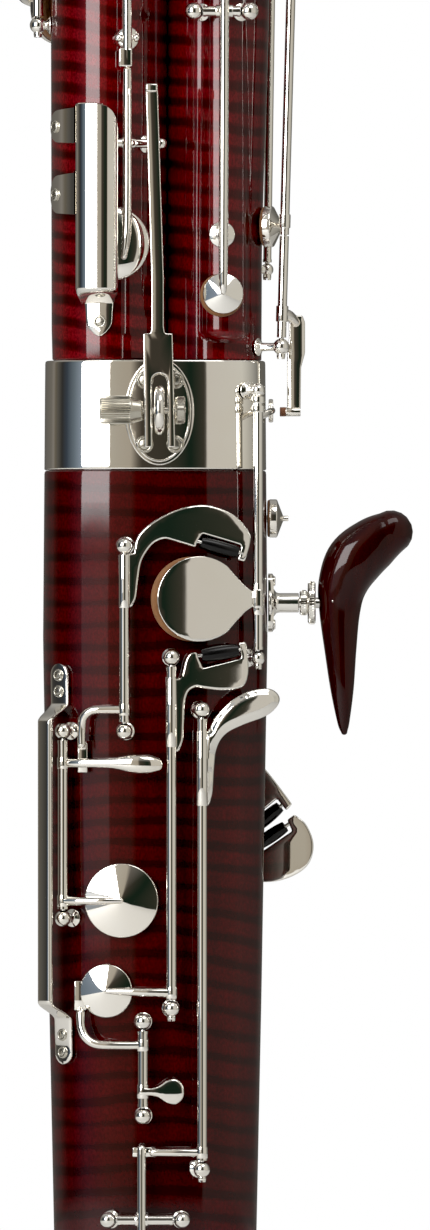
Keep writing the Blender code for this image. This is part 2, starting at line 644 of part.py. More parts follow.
def b_flat():
    low, high = B_FLAT
    axle("b_flat_thumb_axle", low, high, boot_foot)
    outline = smooth([(-11.2, 347.5, 1), (-8.6, 347.5, 1), (-6.9, 350.8, 1), (-5.4, 363.2), (-3.2, 368.4), (3.5, 372.9, 1),
                      (15.2, 369.5, 1), (17.8, 374.6, 1), (32.2, 370.3, 1), (30.8, 364.9, 1), (33.6, 364.3, 1),
                      (35.6, 371.2), (35.3, 374.8), (30.8, 380.9), (24.4, 384.1), (17.0, 385.4), (7.8, 383.5),
                      (-1.4, 378.6), (-6.6, 373.5), (-7.9, 368.2), (-8.6, 365.0, 1), (-11.2, 365.0, 1)])
    touch = plate(outline, PLATE, low[:2], lean=8, lift=1.0)
    arm = sweep(path([(-11.4, -33.1, 309), (-19, -32.4, 309), (-24.6, -31.4, 307.6), (-27.4, -30.2, 303), (-27.4, -29.6, 296)]),
                ARM_R)
    foot = sweep([(-27.0, -30.2, 297), (-27.0, -26.9, 294.6), (-27.0, -26.3, 285.6)], [1.3, 0.7, 0.7], 6)
    ends = (17.2, -30.4, 371.6), (31.2, -28.4, 367.8)
    key("b_flat_thumb_key", [hinge(low, high), touch, arm, foot, roller_pin(*ends)], low, high)
    roller("b_flat_roller", *ends)


def f_sharp():
    low, high = F_SHARP
    axle("f_sharp_thumb_axle", low, high, boot_foot, "low")
    outline = smooth([(6.4, 293.4, 1), (8.7, 293.1, 1), (10.9, 297.5, 1), (10.9, 311.3), (12.3, 315.9), (15.3, 317.6),
                      (18.6, 316.8), (30.1, 316.8), (33.4, 318.4), (35.0, 322.8), (34.6, 330.5), (34.0, 334.4, 1),
                      (31.2, 334.1, 1), (32.2, 328.3, 1), (18.0, 324.7, 1), (15.6, 330.5, 1), (13.1, 329.4),
                      (10.9, 326.1), (9.5, 322.2, 1), (6.4, 322.2, 1)])
    touch = plate(outline, PLATE, low[:2], lean=9, lift=1.0)
    arm = sweep(path([(6.2, -33.0, 203.2), (-3, -33.4, 203.4), (-11, -32.4, 203.6), (-17.9, -30.6, 203.7)]), ARM_R)
    pad = cup((-17.9, -25.9, 203.7), (-0.18, -0.98, 0), 10.0)
    lug = block((-30.2, -26.2, 196.4), (-25.6, -24.8, 207.4))
    ends = (17.3, -32.4, 329.3), (31.2, -30.1, 331.3)
    key("f_sharp_thumb_key", [hinge(low, high), touch, arm, pad, lug, roller_pin(*ends)], low, high)
    roller("f_sharp_roller", *ends)


def g_sharp():
    low, high = G_SHARP
    axle("g_sharp_thumb_axle", low, high, boot_foot, "low")
    outline = smooth([(17.8, 273.4, 1), (20.0, 272.8, 1), (21.9, 278.2, 1), (23.0, 294.7), (26.3, 300.2), (32.9, 303.5),
                      (41.7, 306.9), (46.3, 311.0), (46.5, 314.6), (42.8, 316.4), (35.6, 315.6), (28.5, 312.0),
                      (22.4, 305.6), (20.3, 300.6, 1), (17.8, 300.6, 1)])
    touch = plate(outline, PLATE, low[:2], lean=16, lift=1.0)
    arm = sweep([(17.6, -32.0, 143.4), (-1.4, -31.8, 143.4)], ARM_R)
    tab = block((-8.4, -28.9, 141.8), (0.0, -27.6, 145.2))
    neck = sweep([(0.4, -31.0, 143.4), (-0.8, -28.6, 143.4)], 1.2, 6)
    key("g_sharp_thumb_key", [hinge(low, high), touch, arm, tab, neck], low, high)

    low, high = ROCKER
    axle("g_sharp_rocker_axle", low, high, boot_foot)
    lever = sweep([(-5.0, -31.4, 145.2), (-5.0, -31.6, 118), (-5.0, -31.2, 99), (-5.0, -29.4, 96), (-5.0, -26.6, 95.4)], 1.7, 8)
    key("g_sharp_rocker", [hinge(low, high), lever], low, high)


def pad_key():
    low, high = PAD_KEY
    axle("low_f_sharp_axle", low, high, boot_foot)
    stem = sweep(path([(-34.4, -26.2, 289), (-27, -30.6, 289), (-16, -33.0, 289), (-9, -34.2, 288.8), (-3.6, -34.4, 288.6),
                       (1.2, -34.0, 288.4), (2.1, -33.8, 288.4)]),
                 [1.7, 1.7, 1.7, 2.2, 3.2, 3.4, 3.2, 1.6], flatten=0.55)
    arm = sweep(path([(-34.4, -26.2, 237.4), (-28, -29.6, 237.4), (-20, -31.6, 237.5), (-12.3, -31.8, 237.5)]), ARM_R)
    pad = cup((-12.3, -26.6, 237.5), (-0.10, -0.995, 0), 13.9, rise=2.8)
    key("low_f_sharp_key", [hinge(low, high), stem, arm, pad], low, high)


def trill():
    low, high = TRILL
    axle("f_sharp_trill_axle", low, high, boot_foot, balls=(BALL_R, BALL_R))
    arm = sweep(path([(-4.5, -31.8, 183.5), (-15, -32.4, 183.5), (-22.8, -31.6, 184.2), (-26.6, -30.4, 187.6), (-27.8, -28.6, 194.4)]), ARM_R)
    # The tip turns in under the cup's lug, with room to travel before it lifts it.
    tip = sweep([(-27.8, -28.4, 194.0), (-28.8, -22.8, 194.6), (-28.8, -22.4, 203.4)], [1.0, 0.5, 0.5], 6)
    petal = []
    for x, half in ((-5.5, 1.4), (-2, 1.4), (1.5, 2.2), (4.5, 4.2), (7, 4.8), (9.3, 3.9), (10.7, 2.0), (11, 0.5)):
        y = -33.4 + max(0.0, x) * 0.10
        petal.append([(x, y - 0.7, 166.2 - half * 0.7), (x, y + 0.7, 166.2 - half), (x, y + 0.7, 166.2 + half),
                      (x, y - 0.7, 166.2 + half * 0.7)])
    key("f_sharp_trill_key", [hinge(low, high), arm, tip, loft(petal)], low, high)


# ---- keys on the wing joint and the long joint -------------------------------------------------------

BRIDGE = ((47.4, -12.0, 445.2), (52.4, -12.0, 628.0))
WING_LEVER = ((14.6, -26.2, 570.5), (35.4, -26.2, 570.5))
C_TRILL = ((42.2, 14.0, 475.0), (44.4, 14.8, 628.0))
LOW_D = ((-21.5, -30.2, 521.0), (2.3, -24.4, 521.0))
D_TOUCH = ((-17.6, -30.0, 560.4), (-3.0, -26.4, 560.4))
SIDE_KEY = ((-44.2, -1.5, 566.6), (-44.2, -1.5, 668.0))
WHISPER = ((8.6, -17.4, 700.0), (8.6, -17.4, 868.0))


def bridge_point(z):
    low, high = (Vector(p) for p in BRIDGE)
    return low + (high - low) * ((z - low.z) / (high.z - low.z))


def wing_side():
    low, high = (Vector(p) for p in BRIDGE)
    split = 486.8
    axle("wing_side_axle", low, high, wing_foot, "low")
    along = (high - low).normalized()
    lower = pipe(low + along * (BALL_R + END_PLAY), bridge_point(split), 1.75, TUBE_BORE_R)
    upper = pipe(bridge_point(split + 0.5), high - along * (BALL_R + END_PLAY), 1.75, TUBE_BORE_R)
    clamp = sweep([bridge_point(458), (50.6, -9.4, 457.2), (52.8, -4.6, 455.0)], [2.2, 1.9, 1.7])
    lever = plate([(50.4, 457.0), (55.6, 457.0), (56.3, 455), (56.4, 443), (54.8, 437.6), (54.6, 421.4), (49.8, 421.4),
                   (49.8, 442), (50.6, 450)], 1.6, (52, -4.0))
    foot = rod((46.9, -4.0, 420.9), (54.6, -4.0, 420.9), 1.7, count=10)
    key("whisper_bridge", [lower, clamp, lever, foot], low, high)

    seat = Vector((22.7 + 17.9 * cos(radians(-12)), 17.9 * sin(radians(-12)), 490.6))
    out = Vector((cos(radians(-12)), sin(radians(-12)), 0))
    pad = cup(seat + out * 1.2, out, 7.7, rim=3.4, rise=3.6)
    arm = sweep([seat + out * 7.4, bridge_point(492.4)], [1.5, 1.7], 8)
    touch = sweep(path([bridge_point(612), (49.6, -17.5, 613), (45, -22, 622), (41, -24, 634)]),
                  [1.6, 1.8, 2.0, 2.6, 3.2, 3.6, 3.8, 3.4, 3.0, 2.0], flatten=0.5)
    key("wing_side_key", [upper, pad, arm, touch], low, high)


def wing_lever():
    low, high = WING_LEVER
    axle("wing_thumb_axle", low, high, wing_foot)
    # A long lever: its pad end covers the hole in the raised land, its upper end is the thumb's touch.
    lever = sweep(path([(25.6, -28.9, 465.4), (25.6, -29.6, 472), (25.7, -29.6, 500), (26.0, -28.6, 570), (26.2, -28.6, 604),
                        (26.4, -29.2, 620)]), [1.4] + [1.8] * 7)
    touch = plate([(21.6, 612), (31.2, 612), (32.4, 622), (30.4, 634), (26.4, 637.5), (22.4, 634), (20.4, 622)], 1.6,
                  (26.4, -29.6))
    pad = cup((25.5, -23.6, 464.8), (0, -1, 0), 7.6, rim=2.0, rise=3.2)
    key("wing_thumb_key", [hinge(low, high), lever, touch, pad], low, high)


def trill_on_wing():
    low, high = C_TRILL
    axle("c_sharp_trill_axle", low, high, wing_foot, "low", (2.4, 2.4))
    tube = hinge(low, high, 1.55, (2.4, 2.4))
    arm = sweep(path([(42.8, 14.2, 520), (40.5, 20.5, 520), (34, 24.0, 520), (28.2, 23.8, 520)]), 1.4)
    pad = cup((27.9, 19.4, 520), (0.22, 0.975, 0), 6.4, rim=2.0, rise=1.8)
    touch = sweep(path([(44.1, 14.7, 606), (47.6, 11, 607), (49.2, 4, 611), (48.8, -3, 618)]), [1.4, 1.4, 1.8, 2.4, 1.4])
    key("c_sharp_trill_key", [tube, arm, pad, touch], low, high)


def long_levers():
    low, high = LOW_D
    balls = (LEVER_BALL, LEVER_BALL)
    axle("low_d_axle", low, high, long_foot, balls=balls)
    lever = sweep(path([(-11.6, -29.6, 478.6), (-10.4, -30.2, 490), (-10.2, -29.4, 521), (-10.2, -28.9, 548)]), 1.7)
    pad = cup((-15.7, -25.8, 483.5), (0, -1, 0), 13.9, rim=1.8, rise=2.6)
    key("low_d_key", [hinge(low, high, 1.7, balls), lever, pad], low, high)

    # The touch's foot has a tongue under the low D lever's end, so pressing it closes the cup.
    low, high = D_TOUCH
    axle("low_d_touch_axle", low, high, long_foot, balls=balls)
    lever = sweep(path([(-10.3, -30.0, 551), (-10.3, -30.0, 560.4), (-10.4, -29.6, 600)]), 1.8)
    touch = plate([(-16, 592), (-5, 592), (-3.8, 606), (-6, 618), (-10.6, 623), (-15.2, 618), (-17.2, 606)], PLATE,
                  (-10.6, -30.0))
    foot = block((-13.6, -31.8, 549.4), (-8.4, -25.6, 556.4))
    tongue = block((-11.4, -26.5, 543.6), (-9.2, -25.6, 550))
    key("low_d_touch", [hinge(low, high, 1.7, balls), lever, touch, foot, tongue], low, high)

    low, high = SIDE_KEY
    axle("low_c_sharp_axle", low, high, long_foot, "low")
    out = Vector((-0.76, 0.65, 0))
    pad = cup(Vector((LONG_X, 0, 574)) + out * 26.2, out, 13.2, rim=2.2, rise=2.2)
    arm = sweep(path([(-44.2, -1.5, 580), (-50, 6, 579), (-48.8, 15, 577), (-40.2, 19.7, 574.4)]), 1.7)
    touch = sweep(path([(-44.2, -1.5, 640), (-44.8, -10, 642), (-40.4, -19.5, 648), (-33.5, -26, 658)]),
                  [1.7, 1.7, 2.0, 3.6, 4.0, 3.4, 2.0], flatten=0.6)
    key("low_c_sharp_key", [hinge(low, high), pad, arm, touch], low, high)


def whisper():
    low, high = WHISPER
    axle("whisper_axle", low, high, wing_foot, "low")
    arm = sweep(path([(8.6, -17.4, 857), (12.8, -21.5, 862), (15.5, -21.5, 880), (20.5, -18.2, 903), (27.6, -9.8, 917)]), 1.5)
    pad = rod((28.8, -11.0, 916.9), (26.4, -7.4, 916.9), 2.6, count=12)
    touch = plate([(8.6, 706), (20, 704), (24, 710), (23, 722), (17, 727), (8.6, 722)], PLATE, low[:2], lean=-12, lift=1.0)
    key("whisper_key", [hinge(low, high), arm, pad, touch], low, high)


# ---- keys on the boot's front, its right side and the bell --------------------------------------------

FRONT = ((14.0, 33.0, 150.0), (14.0, 33.0, 334.0))
BOOT_SIDE = ((36.8, 25.6, 352.0), (36.8, 25.6, 412.0))
BELL_KEY = ((-2.5, -30.5, 1090.0), (-2.5, -30.5, 1200.0))


def front_tube(z_low, z_high):
    return pipe((14.0, 33.0, z_low), (14.0, 33.0, z_high), TUBE_R, TUBE_BORE_R)


def front_keys():
    low, high = FRONT
    axle("front_axle", low, high, boot_foot, "low")
    arm = sweep(path([(14, 33.4, 314), (6, 36.2, 314), (-4, 36.2, 314)]), ARM_R)
    pad = cup((-4, 31.0, 314), (-0.04, 1, 0), 10.6)
    key("g_front_key", [front_tube(300.2, 330.4), arm, pad], low, high)

    # Both little-finger touches reach past the boot's right edge and face each other with rollers.
    upper = smooth([(14.0, 297, 1), (24, 298, 1), (33, 294.6), (42.2, 285.2), (51.8, 272.6, 1), (49.6, 270.2, 1),
                    (46.0, 274.6, 1), (34.6, 265.0, 1), (37.6, 261.5, 1), (35.4, 259.7, 1), (30.6, 265.4, 1),
                    (24, 276), (18, 282, 1), (14.0, 282, 1)])
    plate_y = (14.0, 33.6)
    touch = plate(upper, PLATE, plate_y, lean=-9)
    arm = sweep(path([(14, 33, 287), (4, 34.8, 286.6), (-10, 32.4, 286)]), ARM_R)
    pad = cup((-11, 27.8, 286), (-0.10, 0.995, 0), 13.4)
    ends = (37.2, 30.0, 263.3), (47.2, 28.4, 271.7)
    key("f_sharp_front_key", [front_tube(272.4, 299.8), touch, arm, pad, roller_pin(*ends)], low, high)
    roller("f_sharp_front_roller", *ends)

    lower = smooth([(14.0, 252, 1), (24, 251, 1), (32.2, 252.8, 1), (37.2, 256.6, 1), (39.2, 253.8, 1), (51.8, 262.4, 1),
                    (49.9, 266.6, 1), (52.6, 268.7, 1), (57.0, 265.0), (59.8, 258.0), (58.6, 251.0), (54.0, 246.4),
                    (46.0, 243.4), (36, 243.0), (24, 243.6, 1), (14.0, 243.6, 1)])
    touch = plate(lower, PLATE, plate_y, lean=-9)
    arm = sweep(path([(14, 33, 172), (4, 34.2, 172), (-8, 32.4, 172)]), ARM_R)
    pad = cup((-9, 27.4, 172), (-0.08, 0.997, 0), 11.8)
    ends = (38.2, 29.8, 256.8), (49.2, 28.1, 264.2)
    key("a_flat_front_key", [front_tube(153.8, 272.0), touch, arm, pad, roller_pin(*ends)], low, high)
    roller("a_flat_front_roller", *ends)

    low, high = BOOT_SIDE
    axle("boot_side_axle", low, high, boot_foot, "low", (SMALL_BALL, SMALL_BALL))
    side = boot_foot((60, 0, 380.8)).x
    pad = cup((side + 0.9, 1.0, 380.8), (1, 0, 0), 7.2, rim=3.0, rise=2.6)
    nub = rod((side + 5.0, 1.0, 380.8), (side + 8.2, 1.0, 380.8), 1.0, count=10)
    arm = sweep(path([(36.8, 25.6, 380.8), (43.4, 19.0, 380.8), (47.2, 10.0, 380.8), (side + 4.6, 1.6, 380.8)]), 1.4, 8)
    touch = sweep(path([(36.8, 25.6, 360), (29, 31.6, 358), (20, 33.6, 354), (12, 33.6, 352)]),
                  [1.5, 1.5, 1.6, 1.9, 2.4, 3.0, 3.6, 3.8, 3.4, 2.0], flatten=0.5)
    balls = (SMALL_BALL, SMALL_BALL)
    key("boot_side_key", [hinge(low, high, balls=balls), pad, nub, arm, touch], low, high)


def bell_key():
    low, high = BELL_KEY
    axle("low_b_flat_axle", low, high, bell_foot)
    arm = sweep(path([(-2.5, -30.5, 1180), (-8, -34.6, 1180), (-17.2, -35.6, 1180)]), ARM_R)
    pad = cup((LONG_X, -30.6, 1180), (0, -1, 0), 14.0)
    link = sweep(path([(-2.5, -30.5, 1104), (-6.6, -34.0, 1099), (-7.6, -34.4, 1084), (-7.0, -32.0, 1040)]), ARM_R)
    key("low_b_flat_key", [hinge(low, high), arm, pad, link], low, high)


def main():
    clear_scene()
    bodies()
    joints()
    bocal()
    strap_and_hanger()
    guards()
    hand_rest()
    for build in (low_e, b_flat, f_sharp, g_sharp, pad_key, trill, wing_side, wing_lever, trill_on_wing, long_levers,
                  whisper, front_keys, bell_key):
        build()


main()
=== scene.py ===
"""The looks of the bassoon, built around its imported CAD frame.

Shapes are laid out in millimetres in the CAD frame and stored in metres. The instrument stands
along Z; its thumb keys face -Y, its finger keys +Y, and the wing joint is on the +X side.
"""

from math import copysign, atan2, cos, hypot, pi, radians, sin, sqrt

import bmesh
import bpy
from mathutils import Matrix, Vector
from mathutils.geometry import delaunay_2d_cdt


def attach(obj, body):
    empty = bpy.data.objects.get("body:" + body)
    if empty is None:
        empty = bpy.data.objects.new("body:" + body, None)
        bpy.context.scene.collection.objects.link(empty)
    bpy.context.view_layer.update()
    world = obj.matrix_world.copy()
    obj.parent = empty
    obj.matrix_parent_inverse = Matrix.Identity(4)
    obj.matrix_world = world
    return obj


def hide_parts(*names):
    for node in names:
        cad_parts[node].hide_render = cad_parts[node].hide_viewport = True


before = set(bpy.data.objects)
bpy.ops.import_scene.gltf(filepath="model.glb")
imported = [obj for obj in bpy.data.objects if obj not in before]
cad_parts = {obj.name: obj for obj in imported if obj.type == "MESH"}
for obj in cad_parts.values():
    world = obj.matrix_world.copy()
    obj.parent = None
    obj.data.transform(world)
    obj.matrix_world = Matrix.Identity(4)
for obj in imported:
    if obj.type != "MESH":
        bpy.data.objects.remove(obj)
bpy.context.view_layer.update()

MM = 0.001
SILVER, NICKEL, WOOD = "silver_plate", "nickel_silver", "stained_maple"
BLACK, RING, CANE = "roller_black", "bell_ring_white", "reed_cane"
ROOT = "instrument"

# The wooden bodies, as the CAD has them: heights, radii by height, and where each joint stands
BOOT_TOP, COLLAR_LOW, CAP_TOP, WOOD_LOW = 440.0, 399.0, 44.0, 36.3
BOOT_WIDTHS = ((0, 35.0), (36, 36.4), (114, 38.2), (200, 40.0), (335, 42.3), (397, 41.8),
    (500, 41.8))
BOOT_DEPTH_RATIO, BOOT_SQUARENESS = 0.64, 2.6
LONG_X, WING_X = -17.25, 22.5
LONG_BODY = ((440.3, 21.6), (575, 21.9), (760, 21.0), (1030, 19.5))
WING_BODY = ((440.3, 22.5, 17.5), (480, 22.6, 17.6), (575, 24.0, 18.9), (640, 24.0, 18.8),
    (720, 23.0, 16.8), (884.7, 22.5, 14.0))
LAND_X, LAND_Y, LAND_R, LAND_LOW, LAND_HIGH = 25.6, -12.2, 9.2, 445.8, 650.0
BELL_BODY = ((1049.0, 22.6), (1064, 21.6), (1120, 24.2), (1180, 26.4), (1240, 25.0), (1300, 22.8),
    (1322, 24.5))
BELL_TOP = 1340.0

UP, RIGHT, BACK = (0, 0, 1), (1, 0, 0), (0, -1, 0)
# Key work: the gap under a post's foot and at a tube's end, and the sizes that the keys share
GAP, END_PLAY, PLATE = 0.3, 0.4, 1.8
TUBE_R, TUBE_BORE, AXLE_R, ARM_R = 1.95, 1.2, 0.85, 1.6
BALL_R, SMALL_BALLS, LEVER_BALLS = 3.1, (2.7, 2.7), (2.2, 2.2)
STEM_R, FLANGE_R = 1.6, 3.4


# ---- materials ----

class Nodes:
    """A short way to write the nodes of a material or of the world."""

    def __init__(self, name, library=bpy.data.materials, shader="Principled BSDF"):
        self.made = library.new(name)
        self.made.use_nodes = True
        self.tree = self.made.node_tree
        self.shader = self.tree.nodes[shader]

    def add(self, kind, inputs=(), **settings):
        node = self.tree.nodes.new(kind)
        for key, value in settings.items():
            setattr(node, key, value)
        for key, value in dict(inputs).items():
            self.put(node.inputs[key], value)
        return node

    def put(self, socket, value):
        if isinstance(value, bpy.types.NodeSocket):
            self.tree.links.new(value, socket)
        elif isinstance(value, tuple) and len(value) == 3 and socket.type == "RGBA":
            socket.default_value = (*value, 1.0)
        else:
            socket.default_value = value

    def set(self, **values):
        for key, value in values.items():
            self.put(self.shader.inputs[key.replace("_", " ")], value)

    def math(self, operation, a, b=0.0, clamp=False):
        node = self.add("ShaderNodeMath", {0: a, 1: b}, operation=operation, use_clamp=clamp)
        return node.outputs[0]

    def place(self):
        return self.add("ShaderNodeTexCoord").outputs["Object"]

    def noise(self, scale, detail=3.0, roughness=0.5, stretch=(1, 1, 1)):
        moved = self.add("ShaderNodeMapping", {"Vector": self.place(), "Scale": stretch}).outputs[0]
        inputs = {"Vector": moved, "Scale": scale, "Detail": detail, "Roughness": roughness}
        return self.add("ShaderNodeTexNoise", inputs).outputs[0]

    def ramp(self, value, stops, interpolation="LINEAR"):
        node = self.add("ShaderNodeValToRGB", {0: value})
        node.color_ramp.interpolation = interpolation
        elements = node.color_ramp.elements
        while len(elements) < len(stops):
            elements.new(0.5)
        for element, (position, colour) in zip(elements, stops):
            element.position = position
            element.color = (*colour, 1.0) if isinstance(colour, tuple) else (*[colour] * 3, 1.0)
        return node.outputs[0]

    def mix(self, share, a, b, blend="MIX"):
        node = self.add("ShaderNodeMix", {0: share, 6: a, 7: b}, data_type="RGBA", blend_type=blend)
        return node.outputs[2]

    def bump(self, height, distance, strength=1.0):
        inputs = {"Strength": strength, "Distance": distance, "Height": height}
        return self.add("ShaderNodeBump", inputs).outputs[0]


def flamed_maple(name, light, dark, deep, glow, lean, period=0.0082):
    """Stained maple: flame bands across the length, fine sparkle in the grain, clear lacquer."""
    n = Nodes(name)
    place = n.place()
    split = n.add("ShaderNodeSeparateXYZ", {0: place})
    # The bands lean and wander slowly, and fade in and out round the body.
    wander = n.math("SUBTRACT", n.noise(6.0, 1.0, stretch=(1.8, 1.8, 1.0)), 0.5)
    ripple = n.math("SUBTRACT", n.noise(45.0, 2.0, stretch=(1.0, 1.0, 1.6)), 0.5)
    slope = n.math("MULTIPLY", split.outputs[0], lean)
    height = n.math("ADD", split.outputs[2], n.math("ADD", slope,
        n.math("MULTIPLY", wander, 0.020)))
    height = n.math("ADD", height, n.math("MULTIPLY", ripple, 0.0030))
    wave = n.math("SINE", n.math("MULTIPLY", height, 2 * pi / period))
    band = n.math("ADD", n.math("MULTIPLY", wave, 0.5), 0.5)
    uneven = n.noise(40.0, 3.0, 0.55, stretch=(0.6, 0.6, 2.6))
    band = n.math("ADD", band, n.math("MULTIPLY", n.math("SUBTRACT", uneven, 0.5), 0.9), clamp=True)
    colour = n.ramp(band, ((0.10, deep), (0.34, dark), (0.62, light)), "EASE")
    # Sparkle: specks a few tenths of a millimetre across, a little longer along the grain.
    speck = n.noise(1500.0, 2.0, 0.6, stretch=(1.0, 1.0, 0.6))
    colour = n.mix(0.9, colour, n.ramp(speck, ((0.36, 0.55), (0.5, 0.98), (0.66, 1.55))),
        "MULTIPLY")
    streak = n.noise(260.0, 3.0, 0.6, stretch=(1.0, 1.0, 0.12))
    colour = n.mix(0.5, colour, n.ramp(streak, ((0.35, 0.72), (0.6, 1.1))), "MULTIPLY")
    patches = n.ramp(n.noise(11.0, 3.0), ((0.3, 0.62), (0.7, 1.25)))
    colour = n.mix(0.9, colour, patches, "MULTIPLY")
    n.set(Base_Color=colour, Roughness=0.42, Coat_Weight=1.0, Coat_Roughness=0.05, Coat_IOR=1.44,
        Specular_IOR_Level=0.5, Specular_Tint=glow)
    n.set(Coat_Normal=n.bump(n.noise(38.0, 2.0), 0.00004, 0.4))
    return n.made


def polished(name, colour, rough=0.035, haze=0.03):
    """Plated metal polished by hand: a soft haze of wiping marks over a mirror."""
    n = Nodes(name)
    smear = n.noise(110.0, 4.0, 0.65, stretch=(1.0, 1.0, 0.5))
    fine = n.noise(1400.0, 2.0, 0.5)
    roughness = n.math("ADD", n.math("MULTIPLY", smear, haze), rough - haze * 0.5, clamp=True)
    warm = n.mix(n.ramp(n.noise(22.0, 3.0), ((0.35, 0.0), (0.75, 1.0))), colour,
        tuple(c * f for c, f in zip(colour, (0.96, 0.93, 0.88))))
    n.set(Base_Color=warm, Metallic=1.0, Roughness=roughness)
    n.set(Normal=n.bump(n.math("ADD", n.noise(120.0, 2.0), n.math("MULTIPLY", fine, 0.03)), 0.00002,
        0.3))
    return n.made


def pad_leather(name, light, dark):
    n = Nodes(name)
    grain = n.noise(1500.0, 3.0, 0.6)
    tone = n.noise(160.0, 3.0)
    n.set(Base_Color=n.mix(tone, light, dark), Roughness=0.75, Sheen_Weight=0.2)
    n.set(Normal=n.bump(grain, 0.0002, 0.6))
    return n.made


def black_roller(name):
    n = Nodes(name)
    marks = n.noise(700.0, 3.0, 0.6, stretch=(0.4, 1.0, 1.0))
    n.set(Base_Color=n.mix(marks, (0.003, 0.003, 0.0035), (0.007, 0.0065, 0.0065)),
        Roughness=n.math("ADD", n.math("MULTIPLY", marks, 0.05), 0.2), Specular_IOR_Level=0.35)
    return n.made


def mahogany(name):
    """The hand rest: dark red-brown wood with long faint streaks, thickly lacquered."""
    n = Nodes(name)
    streak = n.noise(60.0, 4.0, 0.6, stretch=(3.0, 3.0, 0.35))
    colour = n.ramp(streak, ((0.3, (0.008, 0.0007, 0.0006)), (0.6, (0.019, 0.0014, 0.0010)),
        (0.8, (0.036, 0.0035, 0.0022))))
    n.set(Base_Color=colour, Roughness=0.4, Coat_Weight=1.0, Coat_Roughness=0.07, Coat_IOR=1.38,
        Specular_IOR_Level=0.3, Specular_Tint=(0.3, 0.02, 0.01))
    n.set(Coat_Normal=n.bump(n.noise(70.0, 2.0), 0.00006, 0.4))
    return n.made


def ring_white(name):
    n = Nodes(name)
    veins = n.noise(90.0, 4.0, 0.6, stretch=(1.0, 1.0, 3.0))
    n.set(Base_Color=n.mix(veins, (0.86, 0.83, 0.74), (0.76, 0.71, 0.60)), Roughness=0.28,
        Coat_Weight=0.4, Subsurface_Weight=0.1, Subsurface_Scale=0.002)
    return n.made


def cane(name):
    n = Nodes(name)
    fibre = n.noise(1200.0, 3.0, 0.6, stretch=(1.0, 0.05, 1.0))
    n.set(Base_Color=n.mix(fibre, (0.76, 0.58, 0.28), (0.52, 0.36, 0.14)), Roughness=0.6)
    n.set(Normal=n.bump(fibre, 0.0001, 0.5))
    return n.made


LOOKS = {
    "joint_wood": (flamed_maple("joint_maple", (0.100, 0.0028, 0.0045), (0.050, 0.0012, 0.0018),
                                (0.020, 0.0006, 0.0007), (0.75, 0.02, 0.02), 0.10), WOOD),
    "boot_wood": (flamed_maple("boot_maple", (0.040, 0.0010, 0.0014), (0.027, 0.0006, 0.0008),
                               (0.0105, 0.0003, 0.0003), (0.35, 0.01, 0.01), 0.015, 0.0086), WOOD),
    "rest_wood": (mahogany("rest_mahogany"), WOOD),
    "silver": (polished("polished_silver", (0.93, 0.91, 0.865)), SILVER),
    "steel": (polished("polished_steel", (0.72, 0.71, 0.69), 0.09, 0.05), SILVER),
    "brushed": (polished("brushed_nickel", (0.56, 0.54, 0.48), 0.26, 0.1), SILVER),
    "nickel": (polished("polished_nickel", (0.80, 0.77, 0.71), 0.06), NICKEL),
    "leather": (pad_leather("pad_leather", (0.25, 0.112, 0.036), (0.14, 0.056, 0.018)), None),
    "cork": (pad_leather("key_cork", (0.20, 0.075, 0.030), (0.10, 0.035, 0.015)), None),
    "black": (black_roller("roller_black"), BLACK),
    "ring": (ring_white("ring_white"), RING),
    "cane": (cane("reed_cane"), CANE),
    "thread": (pad_leather("reed_thread", (0.25, 0.012, 0.015), (0.12, 0.006, 0.008)), None),
}


# ---- shapes ----

def side_axes(axis):
    """Two unit directions square to an axis."""
    along = Vector(axis).normalized()
    start = Vector(UP) if abs(along.z) < 0.9 else Vector(RIGHT)
    first = along.cross(start).normalized()
    return first, along.cross(first).normalized()


def turns(count, shift=0.0):
    return [2 * pi * (i + shift) / count for i in range(count)]


def ring_at(point, first, second, radius, count):
    """A round ring of points in the plane of two directions."""
    return [point + radius * (cos(a) * first + sin(a) * second) for a in turns(count)]


def circle(centre, axis, radius, count):
    return ring_at(Vector(centre), *side_axes(axis), radius, count)


def loft(rings, looped=False):
    """Skins rings of points, all of one length, with flat ends or round to the first again."""
    bm = bmesh.new()
    rows = [[bm.verts.new(p) for p in ring] for ring in rings]
    if looped:
        rows.append(rows[0])
    else:
        bm.faces.new(rows[0])
        bm.faces.new(rows[-1])
    bridge(bm, rows)
    return bm


def bridge(bm, rows):
    """Quads between each row of vertices and the next."""
    for low, high in zip(rows, rows[1:]):
        for i in range(len(low)):
            j = (i + 1) % len(low)
            bm.faces.new((low[i], low[j], high[j], high[i]))


def lathe(profile, origin, axis, count=36):
    """Turns (radius, height) points about an axis; the profile starts and ends on the axis."""
    along = Vector(axis).normalized()
    bm = bmesh.new()
    rows = []
    for radius, height in profile:
        centre = Vector(origin) + height * along
        points = [centre] if radius == 0 else circle(centre, along, radius, count)
        rows.append([bm.verts.new(p) for p in points])
    for low, high in zip(rows, rows[1:]):
        for i in range(count):
            j = (i + 1) % count
            corners = [low[i % len(low)], low[j % len(low)], high[j % len(high)],
                high[i % len(high)]]
            bm.faces.new(list(dict.fromkeys(corners)))
    return bm


def bend(start, corner, end, t):
    return (1 - t) ** 2 * start + 2 * t * (1 - t) * corner + t * t * end


def rounded(profile, radius=0.3, steps=3):
    """Rounds the inner corners of a turned profile."""
    made = [profile[0]]
    for before, here, after in zip(profile, profile[1:], profile[2:]):
        a, p, b = Vector(before), Vector(here), Vector(after)
        reach = min(radius, (a - p).length * 0.45, (b - p).length * 0.45)
        start, end = p + (a - p).normalized() * reach, p + (b - p).normalized() * reach
        made += [tuple(bend(start, p, end, s / steps)) for s in range(steps + 1)]
    return made + [profile[-1]]


def turned(profile, origin, axis, count=36, radius=0.3, steps=3):
    return lathe(rounded(profile, radius, steps), origin, axis, count)


